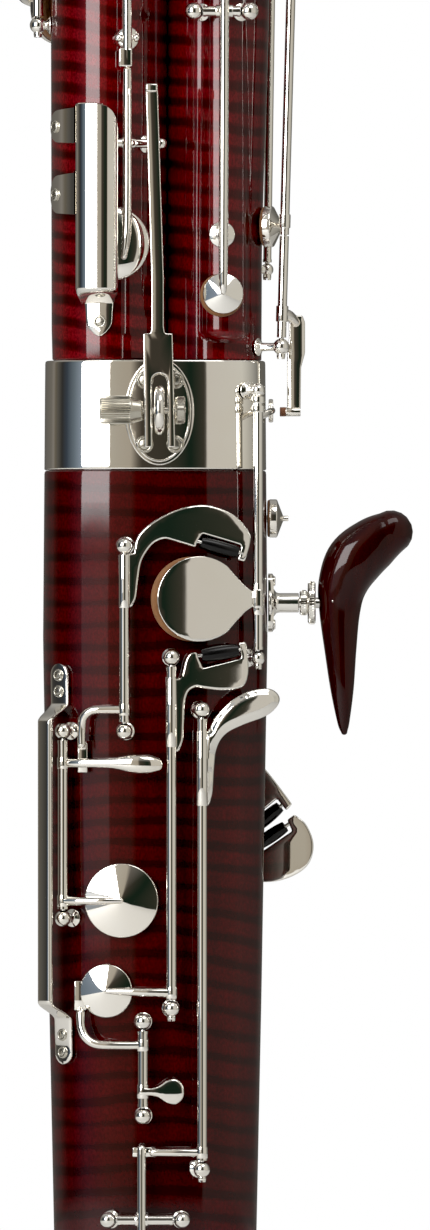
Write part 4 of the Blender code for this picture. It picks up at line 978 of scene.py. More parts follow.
def pad_guard():
    """A curved wall by the low D pad, its shoulder and foot, and two clips round the long joint."""
    centre_x, base_y, width, depth = -21.6, -31.2, 8.1, 5.6
    z_low, z_high, drop, wall, lean = 466.6, 535.8, 13, 1, radians(12)

    def arc(a, thin=0):
        # A squarish half round, turned a little to the left.
        u = -(width - thin) * copysign(abs(cos(a)) ** 0.85, cos(a))
        v = -(depth - thin) * abs(sin(a)) ** 0.85
        return Vector((centre_x + u * cos(lean) + v * sin(lean),
            base_y - u * sin(lean) + v * cos(lean), 0))

    strips, count, curve_from = [], 40, 0.45
    for i in range(count + 1):
        share = max(0, (i - count * curve_from) / (count * (1 - curve_from)))
        top = z_high - drop * (1 - sqrt(max(0, 1 - share ** 2)))
        outer, inner = arc(pi * i / count), arc(pi * i / count, wall)
        between_x, between_y = (outer.x + inner.x) / 2, (outer.y + inner.y) / 2
        strips.append([(outer.x, outer.y, z_low), (outer.x, outer.y, top - 0.4),
            (between_x, between_y, top), (inner.x, inner.y, top - 0.3), (inner.x, inner.y, z_low)])
    # The lower end is closed by a rounded shoulder that runs down to the foot.
    shoulder, steps, run = [], 8, 6
    for k in range(steps + 1):
        drawn = 1 - cos(k / steps * pi / 2)
        ring = []
        for thin, end_y, order in ((0.02, -22.6, 1), (wall, -21.9, -1)):
            for p in [arc(pi * i / 24, thin) for i in range(25)][::order]:
                ring.append(Vector((p.x + (centre_x + 0.7 - p.x) * drawn * 0.25,
                    p.y + (end_y - p.y) * drawn, z_low + 0.4 - run * k / steps)))
        shoulder.append(ring)
    foot = [(-26.4, 463.5, 1), (-26, 458), (-25.2, 452.6), (-20.9, 448.9), (-16.6, 452.6),
        (-15.8, 458), (-15.4, 463.5, 1)]
    parts = [loft(strips), loft(shoulder),
        plate(smooth(foot, 8), 1.2, lambda x, z: -sqrt(22.7 ** 2 - (x - LONG_X) ** 2), edge=0.4)]
    heads = button_screw((-20.6, -22.9, 454.4), (-0.15, -1, 0), 2.5, height=1.2, turn=0.4)
    for z, half in ((528, 6), (502.4, 7)):
        parts.append(guard_clip(z, half, arc(0.12)))
        out = outwards(-150)
        heads += button_screw(Vector((LONG_X, 0, z)) + out * 23.2, out, 2.4, height=1.2, turn=1)
    piece("pad_guard_shell", parts, ROOT, ["pad_guard"])
    piece("pad_guard_screws", heads, ROOT, look="brushed")


def outwards(degrees):
    return Vector((cos(radians(degrees)), sin(radians(degrees)), 0))


def guard_clip(z, half, start):
    """A strap from the guard's wall round the long joint, which narrows to a rounded end."""
    rings, steps, thick, widest = [], 14, 1.1, 0.55
    for k in range(steps + 1):
        t = k / steps
        stand = 24.9 * (1 - t) ** 2 + 22.9 * (1 - (1 - t) ** 2)
        out = outwards(-118 - 46 * t) if k else Vector((-0.45, -0.9, 0)).normalized()
        p = Vector((LONG_X, 0, 0)) + out * (stand - 1) if k else start
        if t < widest:
            narrow = half * (1.18 - 0.2 * t)
        else:
            narrow = half * 1.07 * sqrt(max(0.03, 1 - ((t - widest) / 0.47) ** 2.2))
        rings.append([p + out * thick * far + Vector((0, 0, z + way * (narrow - 0.3 * far)))
            for far, way in ((0, -1), (0, 1), (1, 1), (1, -1))])
    return loft(rings)


def key_guard():
    """The flat upright bar beside the low F sharp key, whose two feet are screwed to the boot."""
    low, high, neck, plain = 175.9, 326.2, 7, (199.5, 304.5)
    bar_middle, bar_side, bar_out = (Vector(p) for p in ((-41, -28.8, 0), (0.69, -0.72, 0),
        (-0.72, -0.69, 0)))
    bar_half, foot_half = 3.3, 4.3

    def foot_frame(z):
        beside = Vector((-40, -24.5, z))
        foot = boot_foot(beside)
        out = (beside - foot).normalized()
        return foot, out, Vector((-out.y, out.x, 0))

    def slice_at(z):
        # The bar's outline at a height; its feet curve in to the boot.
        share = min(1, max(0, (plain[0] - z) / neck, (z - plain[1]) / neck))
        share = share * share * (3 - 2 * share)
        foot, foot_out, foot_side = foot_frame(z)
        middle = bar_middle.lerp(Vector((foot.x, foot.y, 0)) + foot_out * 1.2, share)
        side, out = bar_side.lerp(foot_side, share).normalized(), bar_out.lerp(foot_out,
            share).normalized()
        end = max(0, 1 - min(z - low, high - z) / foot_half)
        side *= (bar_half + (foot_half - bar_half) * share) * sqrt(max(0.004, 1 - end ** 2))
        out *= 1.3 - 0.45 * share
        return [middle + side * copysign(abs(cos(a)) ** 0.35, cos(a))
            + out * copysign(abs(sin(a)) ** 0.6, sin(a)) + Vector((0, 0, z)) for a in turns(28)]

    ends = [foot_half * (1 - cos(pi * i / 12)) for i in range(7)]
    bends = [neck * i / 14 for i in range(15)]
    heights = [low + d for d in ends] + [plain[0] - neck + d for d in bends]
    heights += [plain[0] + 1, plain[0] + 3, plain[1] - 3, plain[1] - 1]
    heights += [plain[1] + d for d in bends] + [high - d for d in reversed(ends)]
    piece("key_guard_bar", [loft([slice_at(z) for z in heights])], ROOT, ["key_guard"])
    heads = []
    for k, z in enumerate((180.4, 186.9, 315.8, 321.9)):
        foot, out, _ = foot_frame(z)
        heads += button_screw(foot + out * 1.9, out, 2.3, height=1, turn=0.9 + k)
    piece("key_guard_screws", heads, ROOT, look="brushed")


def hand_rest():
    z = 349
    side = boot_foot((60, 0, z)).x
    at = (side, 0, z)
    tube = turned([(0, 0.4), (6.4, 0.4), (6.4, 1.6), (5, 2.6), (3.9, 3.4), (3.65, 4.4),
        (3.65, 11.9), (2.4, 11.9), (2.4, 6), (0, 6)], at, RIGHT, 56, 0.35)
    outline = [(-4.4, z - 7), (-2.6, z - 10.2), (0, z - 11), (2.6, z - 10.2), (4.4, z - 7),
        (4.4, z + 7), (2.6, z + 10.2), (0, z + 11), (-2.6, z + 10.2), (-4.4, z + 7)]
    rings = [[Vector((side + dx, u * k, z + (v - z) * k)) for u, v in smooth(outline, 5)] for dx,
        k in ((0.35, 1), (1.9, 1), (2.4, 0.93))]
    piece("hand_rest_plate", [tube, loft(rings)], ROOT, ["hand_rest_socket"])
    heads = []
    for dz in (-8.2, 8.2):
        heads += button_screw((side + 2.2, 0, z + dz), RIGHT, 1.9, height=1, turn=0.5)
    piece("hand_rest_plate_screws", heads, ROOT)
    start = side + 12.2
    profile = [(2.4, 0), (4.1, 0), (4.6, 0.5), (4.6, 2.6), (4.2, 3), (7.3, 3.1), (7.9, 3.6),
        (7.9, 5.5), (7.4, 6), (2.4, 6)]
    rings = [circle((start + x, 0, z), RIGHT, r, 72) for r, x in profile]
    shapes = [loft(rings, looped=True)] + knurl((start, 0, z), RIGHT, 7.85, low=3.5, high=5.7,
        count=48, size=0.3)
    shapes += knurl((start, 0, z), RIGHT, 4.55, low=0.5, high=2.6, count=30, size=0.25)
    mover("hand_rest_thumbnut", shapes, "hand_rest_nut")
    centres = path([(71.2, 0, 300.4), (70.9, 0, 304), (70.4, 0, 316.5), (69.8, 0, 331),
        (69.5, 0, 345.5), (70.6, 0, 355.5), (75, 0, 364.8), (82.6, 0, 371.6), (88.8, 0, 375.6)], 8)
    radii = [1.2, 2.3, 4.4, 6, 7.7, 9.3, 10.8, 10, 8.3]
    mover("hand_rest_body", [sweep(centres, radii, 0.82, 56)], "hand_rest", "rest_wood")
    stem = rod((side + 5, 0, z), (70, 0, z), 2)
    pin = rod((67.2, -6.4, 349.7), (67.2, -4, 349.7), 0.7)
    piece("hand_rest_stem", [stem, pin], "hand_rest", look="steel")


# ---- thumb keys on the boot's back ----

LOW_E = ((38.6, -24, 328.3), (38.6, -24, 428.6))
B_FLAT = ((-11.4, -33.1, 300.9), (-11.4, -33.1, 370.3))
F_SHARP = ((6.2, -33, 197.2), (6.2, -33, 328.6))
G_SHARP = ((17.6, -32, 137), (17.6, -32, 309))
PAD_KEY = ((-34.4, -26.2, 230.8), (-34.4, -26.2, 301))
TRILL = ((-4.5, -31.8, 157), (-4.5, -31.8, 192.3))
ROCKER = ((-17.5, -30, 118), (10.2, -30, 118))


def roller(name, body, start, end, radius=2.6):
    start, end = Vector(start), Vector(end)
    length = (end - start).length
    along = (end - start) / length
    barrel = [(radius * 0.62, 0), (radius * 0.8, 0.1)]
    barrel += [(radius * (0.82 + 0.18 * sin(pi * i / 10) ** 0.7), 0.5 + (length - 1) * i / 10)
        for i in range(11)]
    barrel += [(radius * 0.8, length - 0.1), (radius * 0.62, length)]
    rings = [circle(start + along * h, along, r, 40) for r, h in barrel]
    rings += [circle(start + along * h, along, 1.05, 40) for h in (length, 0)]
    piece(name + "_barrel", [loft(rings, looped=True)], name, [name], "black")
    pin = rod(start - along * 2.2, end + along * 2.2, 0.7)
    piece(name + "_pin", [pin], body, look="steel")


def low_e():
    low, high = LOW_E
    axle("low_e_axle", low, high, boot_foot, "low", SMALL_BALLS)
    centre, radius, lean, lift = Vector((16.9, 350.4)), 16, 15.5, 2.3
    arc = [(centre.x + radius * cos(radians(a)), centre.y + radius * sin(radians(a)))
        for a in range(50, 311, 4)]
    neck = [(30.6, 342.2), (34, 345.8), (37.2, 347.9), (38.8, 348.3), (38.8, 352.5), (37.2, 352.9),
        (34, 355), (30.6, 358.6)]
    pancake = plate(arc + neck, 1.6, leaning(low, lean, lift=lift, bow=1.5, centre=centre,
        span=radius), edge=0.35, step=1.6)
    saddle = box((37, -26.4, 346.6), (40.2, -24, 354.2), edge=0.8)
    arm = bar([(39.2, -23, 418.6), (42.4, -18.5, 420.2), (43.6, -11, 421.2), (43.9, -6, 421.3)],
        1.3)
    button = rod((42.7, -4, 421.3), (44.4, -4, 421.3), 4.4, edge=0.5)
    sleeves = [sleeve(low, high, z, half=1.3, radius=2.7) for z in (425, 421.6)] + [sleeve(low,
        high, 350.4, half=6)]
    mover("low_e_touch", hinge(low, high, balls=SMALL_BALLS)
        + [pancake, saddle, arm, button, *sleeves], "low_e_key")
    # The pad lies parallel to the plate, on its far side.
    slope, aside, under = sin(radians(lean)), 2.3, 2.95
    normal = Vector((slope, -cos(radians(lean)), 0))
    seat = Vector((centre.x - aside, low[1] - lift + (centre.x - low[0]) * slope, centre.y))
    leather_pad("low_e_pad", "low_e_key", seat - normal * under, normal, 15.9, 0.5)


def b_flat():
    low, high = B_FLAT
    axle("b_flat_thumb_axle", low, high, boot_foot)
    outline = smooth([(-11.4, 347, 1), (-9, 347, 1), (-6.9, 350.8), (-6, 358), (-4.6, 365),
        (-0.6, 370.9), (3.9, 373, 1), (15.2, 369.6, 1), (17.8, 374.6, 1), (32.2, 370.3, 1),
        (30.8, 364.9, 1), (33.6, 364.3, 1), (35.6, 371.2), (35.2, 375.2), (30.8, 380.9),
        (24.4, 384.3), (17, 385.6), (7.8, 383.7), (-1.4, 378.8), (-6.6, 373.5), (-7.9, 367.6, 1),
        (-9.4, 367.4, 1), (-11.4, 366.6, 1)])
    touch = plate(outline, 2.1, leaning(low, 8, lift=1, bow=0.6, centre=(18, 372), span=24),
        edge=0.85, step=1.8)
    arm = bar([(-11.4, -33.1, 309), (-19, -32.4, 309), (-23.6, -31.7, 308.6), (-26.6, -30.7, 306.2),
        (-27.4, -30.1, 302), (-27.4, -29.8, 296)], ARM_R)
    foot = box((-28.9, -27.4, 285.4), (-25.2, -26, 296.6), edge=0.4)
    web = box((-28.6, -30.4, 294), (-25.6, -26.4, 297.4), edge=0.5)
    ends = (17.2, -30.4, 371.6), (31.2, -28.4, 367.8)
    mover("b_flat_touch", hinge(low, high) + [touch, arm, foot, web, sleeve(low, high, 309),
        sleeve(low, high, 357, half=10, radius=2.2)], "b_flat_thumb_key")
    roller("b_flat_roller", "b_flat_thumb_key", *ends)


def f_sharp():
    low, high = F_SHARP
    axle("f_sharp_thumb_axle", low, high, boot_foot, "low")
    outline = smooth([(6.2, 293.2, 1), (8.7, 293.1, 1), (10.6, 297.5), (11, 304), (11.3, 311.3),
        (12.6, 315.7), (15.3, 317.4), (18.6, 316.9), (24.5, 316.2), (30.1, 316.6), (33.4, 318.2),
        (35, 322.8), (34.7, 330), (34, 334.4, 1), (31.2, 334.1, 1), (32.2, 328.3, 1),
        (18, 324.7, 1), (15.9, 330.4, 1), (13.4, 330.2), (11.6, 327.8), (10.6, 324),
        (9.8, 320.8, 1), (6.2, 320.4, 1)])
    touch = plate(outline, 2.1, leaning(low, 9, lift=1, bow=1, centre=(22, 322), span=20), edge=0.8,
        step=1.6)
    arm = bar([(6.2, -33, 203.2), (-3, -33.4, 203.4), (-11, -32.4, 203.6), (-17.9, -30.9, 203.7)],
        [1.9, 1.6, 1.5, 1])
    at, normal = (-17.9, -25.9, 203.7), (-0.18, -0.98, 0)
    lug = box((-30.2, -26.2, 196.4), (-25.6, -24.8, 207.4), edge=0.4)
    ends = (17.3, -32.4, 329.3), (31.2, -30.1, 331.3)
    mover("f_sharp_touch", hinge(low, high) + [touch, arm, cup(at, normal, 10), lug,
        sleeve(low, high, 203.2), sleeve(low, high, 308, half=13, radius=2.2)], "f_sharp_thumb_key")
    leather_pad("f_sharp_pad", "f_sharp_thumb_key", at, normal, 9.7, 2.2)
    roller("f_sharp_roller", "f_sharp_thumb_key", *ends, 2.85)


def g_sharp():
    low, high = G_SHARP
    axle("g_sharp_thumb_axle", low, high, boot_foot, "low")
    outline = smooth([(17.6, 273, 1), (20, 272.8, 1), (21.6, 278.2), (22.2, 287), (23.2, 294.7),
        (26.4, 299.8), (32.9, 303.3), (41.7, 306.7), (46, 310.6), (46.4, 314.2), (42.8, 316.8),
        (35.6, 316), (28.5, 312.4), (22.6, 306.2), (20, 300.8, 1), (17.6, 300.4, 1)])
    touch = plate(outline, 2.4, leaning(low, 12, lift=1, bow=3.4, centre=(36, 308), span=26),
        edge=1, step=0.75, crown=1.3)
    arm = sweep([(17.6, -32, 143.4), (8, -32, 143.4), (-0.6, -31.4, 143.4)], 1.5)
    tab = box((-8.4, -28.9, 141.6), (0.2, -27.5, 145.2), edge=0.4)
    neck = box((-1.6, -31.6, 141.7), (0.6, -27.8, 145.1), edge=0.5)
    mover("g_sharp_touch", hinge(low, high) + [touch, arm, tab, neck, sleeve(low, high, 143.4),
        sleeve(low, high, 287, half=14, radius=2.2)], "g_sharp_thumb_key")

    low, high = ROCKER
    axle("g_sharp_rocker_axle", low, high, boot_foot)
    lever = bar([(-5, -31.6, 144.6), (-5, -31.6, 118), (-5, -31.4, 101), (-5, -30, 97),
        (-5, -27.9, 95.8)], 1.7)
    knob = rod((-7.4, -30, 118), (-2.6, -30, 118), 2.5, edge=0.4)
    mover("g_sharp_rocker_lever", hinge(low, high) + [lever, knob], "g_sharp_rocker")


def pad_key():
    low, high = PAD_KEY
    axle("low_f_sharp_axle", low, high, boot_foot)
    stem = bar([(-34.4, -26.2, 289), (-27, -30.6, 289), (-16, -33, 289), (-9, -34.2, 288.8),
        (-3.6, -34.4, 288.6), (1, -34, 288.4)], [1.6, 1.6, 1.6, 2.1, 3.1, 3.5, 3.3, 2.4], 0.62, 32,
        0.8)
    arm = bar([(-34.4, -26.2, 237.4), (-28, -29.6, 237.4), (-20, -31.8, 237.5),
        (-12.8, -31.6, 237.5)], [1.9, 1.6, 1.4, 1])
    at, normal = (-12.3, -26.6, 237.5), (-0.10, -0.995, 0)
    mover("low_f_sharp_lever", hinge(low, high) + [stem, arm, cup(at, normal, 13.9, rise=2.8),
        sleeve(low, high, 289), sleeve(low, high, 237.4)], "low_f_sharp_key")
    leather_pad("low_f_sharp_pad", "low_f_sharp_key", at, normal, 13.5, 2)


def trill():
    low, high = TRILL
    axle("f_sharp_trill_axle", low, high, boot_foot)
    arm = bar([(-4.5, -31.8, 183.5), (-15, -32.2, 183.5), (-21.8, -31.8, 183.9),
        (-25.6, -30.9, 186.2), (-27.4, -29.6, 190), (-27.8, -28.6, 195.4)], ARM_R)
    hook = box((-29.4, -28.6, 193.4), (-27.2, -22.4, 196.2), edge=0.5)
    tip = box((-29.3, -22.9, 194.6), (-27.2, -21.9, 204.4), edge=0.35)
    petal = [(-5.5, 164.7), (-1.5, 164.8), (1.5, 164), (4.5, 162), (7.6, 161.4), (10.2, 163.2),
        (11, 166.2), (10.2, 169.2), (7.6, 171), (4.5, 170.4), (1.5, 168.4), (-1.5, 167.6),
        (-5.5, 167.7)]

    def surface(x, z):
        return -33.2 + max(0, x) * 0.10 + ((z - 166.2) / 7) ** 2

    touch = plate(smooth(petal, 6), 1.8, surface, edge=0.8, step=1.2)
    mover("f_sharp_trill_lever", hinge(low, high)
        + [arm, hook, tip, touch, sleeve(low, high, 183.5), sleeve(low, high, 166.2, half=2.6)],
        "f_sharp_trill_key")


# ---- keys on the wing joint and the long joint ----

BRIDGE = ((47.4, -12, 445.2), (52.4, -12, 628))
WING_LEVER = ((14.6, -26.2, 570.5), (35.4, -26.2, 570.5))
C_TRILL = ((42.2, 14, 475), (44.4, 14.8, 628))
LOW_D = ((-21.5, -30.2, 521), (2.3, -24.4, 521))
D_TOUCH = ((-17.6, -30, 560.4), (-3, -26.4, 560.4))
SIDE_KEY = ((-44.2, -1.5, 566.6), (-44.2, -1.5, 668))
WHISPER = ((8.6, -17.4, 700), (8.6, -17.4, 868))


def dished(middle_x, y, bow=0.01):
    """A plate's middle surface that bends back to both sides of an upright line."""
    return lambda x, z: y + bow * (x - middle_x) ** 2


def bridge_point(z):
    low, high = (Vector(p) for p in BRIDGE)
    return low + (high - low) * ((z - low.z) / (high.z - low.z))


def wing_side():
    low, high = (Vector(p) for p in BRIDGE)
    split = 486.8
    axle("wing_side_axle", low, high, wing_foot, "low")
    along = (high - low).normalized()
    lower = pipe(low + along * (BALL_R + END_PLAY), bridge_point(split), 1.75, TUBE_BORE)
    upper = pipe(bridge_point(split + 0.5), high - along * (BALL_R + END_PLAY), 1.75, TUBE_BORE)
    clamp = bar([bridge_point(457.6), (50.4, -9.4, 456.9), (52.8, -4.6, 454.6)], [2.2, 2, 1.8])
    lever = plate(smooth([(50.2, 457.2, 1), (55.4, 457.2, 1), (56.4, 454.6, 1), (56.4, 443, 1),
        (54.9, 437.6, 1), (54.7, 421.2, 1), (49.7, 421.2, 1), (49.7, 441.9, 1), (50.4, 449, 1)], 5),
        1.9, dished(53, -4, 0.035), edge=0.45)
    foot = rod((49, -4, 420.9), (54.7, -4, 420.9), 1.7)
    tip = rod((46.9, -4, 420.9), (49.2, -4, 420.9), 1.75)
    mover("whisper_bridge_lever", [lower, clamp, lever, foot,
        sleeve(low, high, 457.6, half=3, radius=2.3)], "whisper_bridge")
    piece("whisper_bridge_cork", [tip], "whisper_bridge", look="cork")

    out = Vector((cos(radians(-12)), sin(radians(-12)), 0))
    seat = Vector((22.7, 0, 490.6)) + out * 17.9
    at = seat + out * 1.2
    arm = bar([at + out * 5.6, at + out * 7.2 + Vector((0, -2, 0.6)), bridge_point(492.4)],
        [1, 1.5, 1.9])
    touch = bar([bridge_point(612), (49.6, -17.5, 613), (45, -22, 622), (41, -24, 634)],
        [1.6, 1.8, 2.6, 3.6, 3.8, 3, 2], 0.5)
    mover("wing_side_lever", [upper, cup(at, out, 7.7, rim=3, rise=3.8), arm, touch,
        sleeve(low, high, 492.4, half=2.6, radius=2.2)], "wing_side_key")
    leather_pad("wing_side_pad", "wing_side_key", at, out, 7.5, 1)


def wing_lever():
    low, high = WING_LEVER
    axle("wing_thumb_axle", low, high, wing_foot, balls=(3.4, 3.4))
    lever = bar([(25.6, -28.9, 465.4), (25.6, -29.6, 472), (25.7, -29.6, 500), (26, -28.6, 570),
        (26.2, -28.6, 604), (26.4, -29.2, 620)], [1.2, 1.7, 1.8, 1.8, 1.8, 1.8])
    touch = plate(smooth([(21.6, 612), (26.4, 610), (31.2, 612), (32.4, 622), (30.4, 634),
        (26.4, 637.5), (22.4, 634), (20.4, 622)], 6), 1.8, dished(26.4, -29.6), edge=0.7)
    at, normal = (25.5, -23.6, 464.8), BACK
    knob = rod((22.8, -26.2, 570.5), (29.2, -26.2, 570.5), 2.5, edge=0.4)
    mover("wing_thumb_lever", hinge(low, high)
        + [lever, touch, cup(at, normal, 7.6, rim=2, rise=3.2), knob], "wing_thumb_key")
    leather_pad("wing_thumb_pad", "wing_thumb_key", (25, -22.7, 464.3), normal, 8.2, 0.9)
    base = wing_foot((26, -30, 487))
    saddle = turned([(0, 0.1), (4.9, 0.1), (4.9, 0.9), (3.6, 1.5), (2.2, 1.9), (2.2, 3.6),
        (0, 3.6)], base, Vector((0.08, -1, 0)), 48, 0.35)
    piece("wing_lever_saddle", [saddle], ROOT)


def trill_on_wing():
    low, high = C_TRILL
    axle("c_sharp_trill_axle", low, high, wing_foot, "low", (2.4, 2.4))
    arm = bar([(42.8, 14.2, 520), (40.5, 20.5, 520), (34, 24, 520), (28.2, 23.8, 520)], 1.4)
    at, normal = (27.9, 19.4, 520), (0.22, 0.975, 0)
    touch = bar([(44.1, 14.7, 606), (47.6, 11, 607), (49.2, 4, 611), (48.8, -3, 618)],
        [1.4, 1.4, 1.8, 2.4, 1.4])
    mover("c_sharp_trill_lever", hinge(low, high, 1.55, (2.4, 2.4))
        + [arm, cup(at, normal, 6.4, rim=2, rise=1.8), touch], "c_sharp_trill_key")
    leather_pad("c_sharp_trill_pad", "c_sharp_trill_key", at, normal, 6.2, 1.2)


def long_levers():
    low, high = LOW_D
    axle("low_d_axle", low, high, long_foot, balls=LEVER_BALLS)
    lever = bar([(-11.6, -29.6, 478.6), (-10.4, -30.2, 490), (-10.2, -29.4, 521),
        (-10.2, -28.9, 548)], [1.2, 1.7, 1.7, 1.7])
    at, normal = (-15.7, -25.8, 483.5), BACK
    middle = Vector((-10.2, -27.45, 521))
    along = (Vector(high) - Vector(low)).normalized()
    knob = rod(middle - along * 2.6, middle + along * 2.6, 2.2, edge=0.35)
    mover("low_d_lever", hinge(low, high, 1.7, LEVER_BALLS)
        + [lever, cup(at, normal, 13.9, rim=1.8, rise=2.6, domed=True), knob], "low_d_key")
    leather_pad("low_d_pad", "low_d_key", at, normal, 13.5, 1.6)

    low, high = (Vector(p) for p in D_TOUCH)
    along = (high - low).normalized()
    low, high, ball_r = low + along * 4.2, high - along * 4.2, 1.5
    # The pivot stands on a broad round pillar.
    crest = Vector((-10, -24.6, 560.4))
    seat = long_foot(crest)
    out = (crest - seat).normalized()
    pillar = turned([(0, GAP), (4.4, GAP), (4.4, 4.6), (3.4, 5.4), (0, 5.9)], seat, out, 48, 0.4)
    cheeks = [shape for end in (low, high) for shape in (ball(end, ball_r),
        rod(end - out * 5, end, 1.2))]
    piece("low_d_touch_axle", [pillar, rod(low, high, AXLE_R), *cheeks], ROOT, ["low_d_touch_axle"])
    lever = bar([(-10.3, -30, 551), (-10.3, -30, 560.4), (-10.4, -29.6, 600)], 1.8)
    touch = plate(smooth([(-16, 592), (-10.5, 590), (-5, 592), (-3.8, 606), (-6, 618), (-10.6, 623),
        (-15.2, 618), (-17.2, 606)], 6), 1.8, dished(-10.6, -30), edge=0.7)
    foot = box((-13.6, -31.8, 549.4), (-8.4, -25.6, 556.4), edge=0.7)
    tongue = box((-11.4, -26.5, 543.6), (-9.2, -25.6, 550), edge=0.3)
    mover("low_d_touch_lever", hinge(low, high, 1.7, (ball_r, ball_r))
        + [lever, touch, foot, tongue], "low_d_touch")

    low, high = SIDE_KEY
    axle("low_c_sharp_axle", low, high, long_foot, "low")
    out = Vector((-0.76, 0.65, 0))
    at = Vector((LONG_X, 0, 574)) + out * 26.2
    arm = bar([(-44.2, -1.5, 580), (-50, 6, 579), (-48.8, 15, 577), (-40.2, 19.7, 574.4)], 1.7)
    touch = bar([(-44.2, -1.5, 640), (-44.8, -10, 642), (-40.4, -19.5, 648), (-33.5, -26, 658)],
        [1.7, 1.7, 2, 3.6, 4, 3.4, 2], 0.6)
    mover("low_c_sharp_lever", hinge(low, high) + [cup(at, out, 13.2), arm, touch],
        "low_c_sharp_key")
    leather_pad("low_c_sharp_pad", "low_c_sharp_key", at, out, 12.8, 3.2)


def whisper():
    low, high = WHISPER
    axle("whisper_axle", low, high, wing_foot, "low")
    arm = bar([(8.6, -17.4, 857), (12.8, -21.5, 862), (15.5, -21.5, 880), (20.5, -18.2, 903),
        (27.6, -9.8, 917)], 1.5)
    head = rod((28.8, -11, 916.9), (27, -8.3, 916.9), 2.6)
    tip = rod((27.2, -8.6, 916.9), (26.4, -7.4, 916.9), 2.4)
    touch = plate(smooth([(8.6, 706, 1), (20, 704), (24, 710), (23, 722), (17, 727), (8.6, 722, 1)],
        6), 2, leaning(low, -12, lift=1, bow=0.6, centre=(16, 715), span=14), edge=0.8)
    mover("whisper_lever", hinge(low, high) + [arm, head, touch], "whisper_key")
    piece("whisper_pad", [tip], "whisper_key", look="leather")


# ---- keys on the boot's front, its right side and the bell ----

FRONT = ((14, 33, 150), (14, 33, 334))
BOOT_SIDE = ((36.8, 25.6, 352), (36.8, 25.6, 412))
BELL_KEY = ((-2.5, -30.5, 1090), (-2.5, -30.5, 1200))


def front_tube(z_low, z_high):
    """Three keys share the front axle, each on its own length of tube."""
    x, y, _ = FRONT[0]
    return [pipe((x, y, z_low), (x, y, z_high), TUBE_R, TUBE_BORE)]


def front_keys():
    low, high = FRONT
    axle("front_axle", low, high, boot_foot, "low")
    arm = bar([(14, 33.4, 314), (6, 36.2, 314), (-4, 36.2, 314)], [1.9, 1.6, 1.2])
    at, normal = (-4, 31, 314), (-0.04, 1, 0)
    mover("g_front_lever", front_tube(300.2, 330.4) + [arm, cup(at, normal, 10.6),
        sleeve(low, high, 314)], "g_front_key")
    leather_pad("g_front_pad", "g_front_key", at, normal, 10.3, 2)

    upper = smooth([(14, 297, 1), (24, 298), (33, 294.6), (42.2, 285.2), (51.8, 272.6, 1),
        (49.6, 270.2, 1), (46, 274.6, 1), (34.6, 265, 1), (37.6, 261.5, 1), (35.4, 259.7, 1),
        (30.6, 265.4), (24, 276), (18, 282), (14, 282, 1)])
    surface = leaning((14, 33.6), -9)
    touch = plate(upper, PLATE, surface, edge=0.6)
    arm = bar([(14, 33, 287), (4, 34.8, 286.6), (-10, 32.6, 286)], [1.9, 1.6, 1.2])
    at, normal = (-11, 27.8, 286), (-0.10, 0.995, 0)
    mover("f_sharp_front_lever", front_tube(272.4, 299.8) + [touch, arm, cup(at, normal, 13.4)],
        "f_sharp_front_key")
    leather_pad("f_sharp_front_pad", "f_sharp_front_key", at, normal, 13, 1.2)
    roller("f_sharp_front_roller", "f_sharp_front_key", (37.2, 30, 263.3), (47.2, 28.4, 271.7))

    lower = smooth([(14, 252, 1), (24, 251), (32.2, 252.8), (37.2, 256.6, 1), (39.2, 253.8, 1),
        (51.8, 262.4, 1), (49.9, 266.6, 1), (52.6, 268.7, 1), (57, 265), (59.8, 258), (58.6, 251),
        (54, 246.4), (46, 243.4), (36, 243), (24, 243.6), (14, 243.6, 1)])
    touch = plate(lower, PLATE, surface, edge=0.6)
    arm = bar([(14, 33, 172), (4, 34.2, 172), (-8, 32.4, 172)], [1.9, 1.6, 1.2])
    at, normal = (-9, 27.4, 172), (-0.08, 0.997, 0)
    mover("a_flat_front_lever", front_tube(153.8, 272)
        + [touch, arm, cup(at, normal, 11.8), sleeve(low, high, 172)], "a_flat_front_key")
    leather_pad("a_flat_front_pad", "a_flat_front_key", at, normal, 11.5, 1.2)
    roller("a_flat_front_roller", "a_flat_front_key", (38.2, 29.8, 256.8), (49.2, 28.1, 264.2))

    low, high = BOOT_SIDE
    axle("boot_side_axle", low, high, boot_foot, "low", SMALL_BALLS)
    side = boot_foot((60, 0, 380.8)).x
    at, normal = (side + 0.9, 1, 380.8), RIGHT
    nub = rod((side + 5, 1, 380.8), (side + 8.2, 1, 380.8), 1)
    arm = bar([(36.8, 25.6, 380.8), (43.4, 19, 380.8), (47.2, 10, 380.8), (side + 4.6, 1.6, 380.8)],
        1.4)
    touch = bar([(36.8, 25.6, 360), (29, 31.6, 358), (20, 33.6, 354), (12, 33.6, 352)],
        [1.5, 1.5, 1.9, 3, 3.8, 3.2, 2], 0.5)
    mover("boot_side_lever", hinge(low, high, balls=SMALL_BALLS)
        + [cup(at, normal, 7.2, rim=3, rise=2.6), nub, arm, touch], "boot_side_key")
    leather_pad("boot_side_pad", "boot_side_key", at, normal, 7, 0.7)


def bell_key():
    low, high = BELL_KEY
    axle("low_b_flat_axle", low, high, bell_foot)
    arm = bar([(-2.5, -30.5, 1180), (-8, -34.6, 1180), (-17.2, -35.6, 1180)], [1.9, 1.6, 1.2])
    at, normal = (LONG_X, -30.6, 1180), BACK
    link = bar([(-2.5, -30.5, 1104), (-6.6, -34, 1099), (-7.6, -34.4, 1084), (-7, -32, 1040)],
        ARM_R)
    mover("low_b_flat_lever", hinge(low, high) + [arm, cup(at, normal, 14), link,
        sleeve(low, high, 1180)], "low_b_flat_key")
    leather_pad("low_b_flat_pad", "low_b_flat_key", at, normal, 13.6, 2)


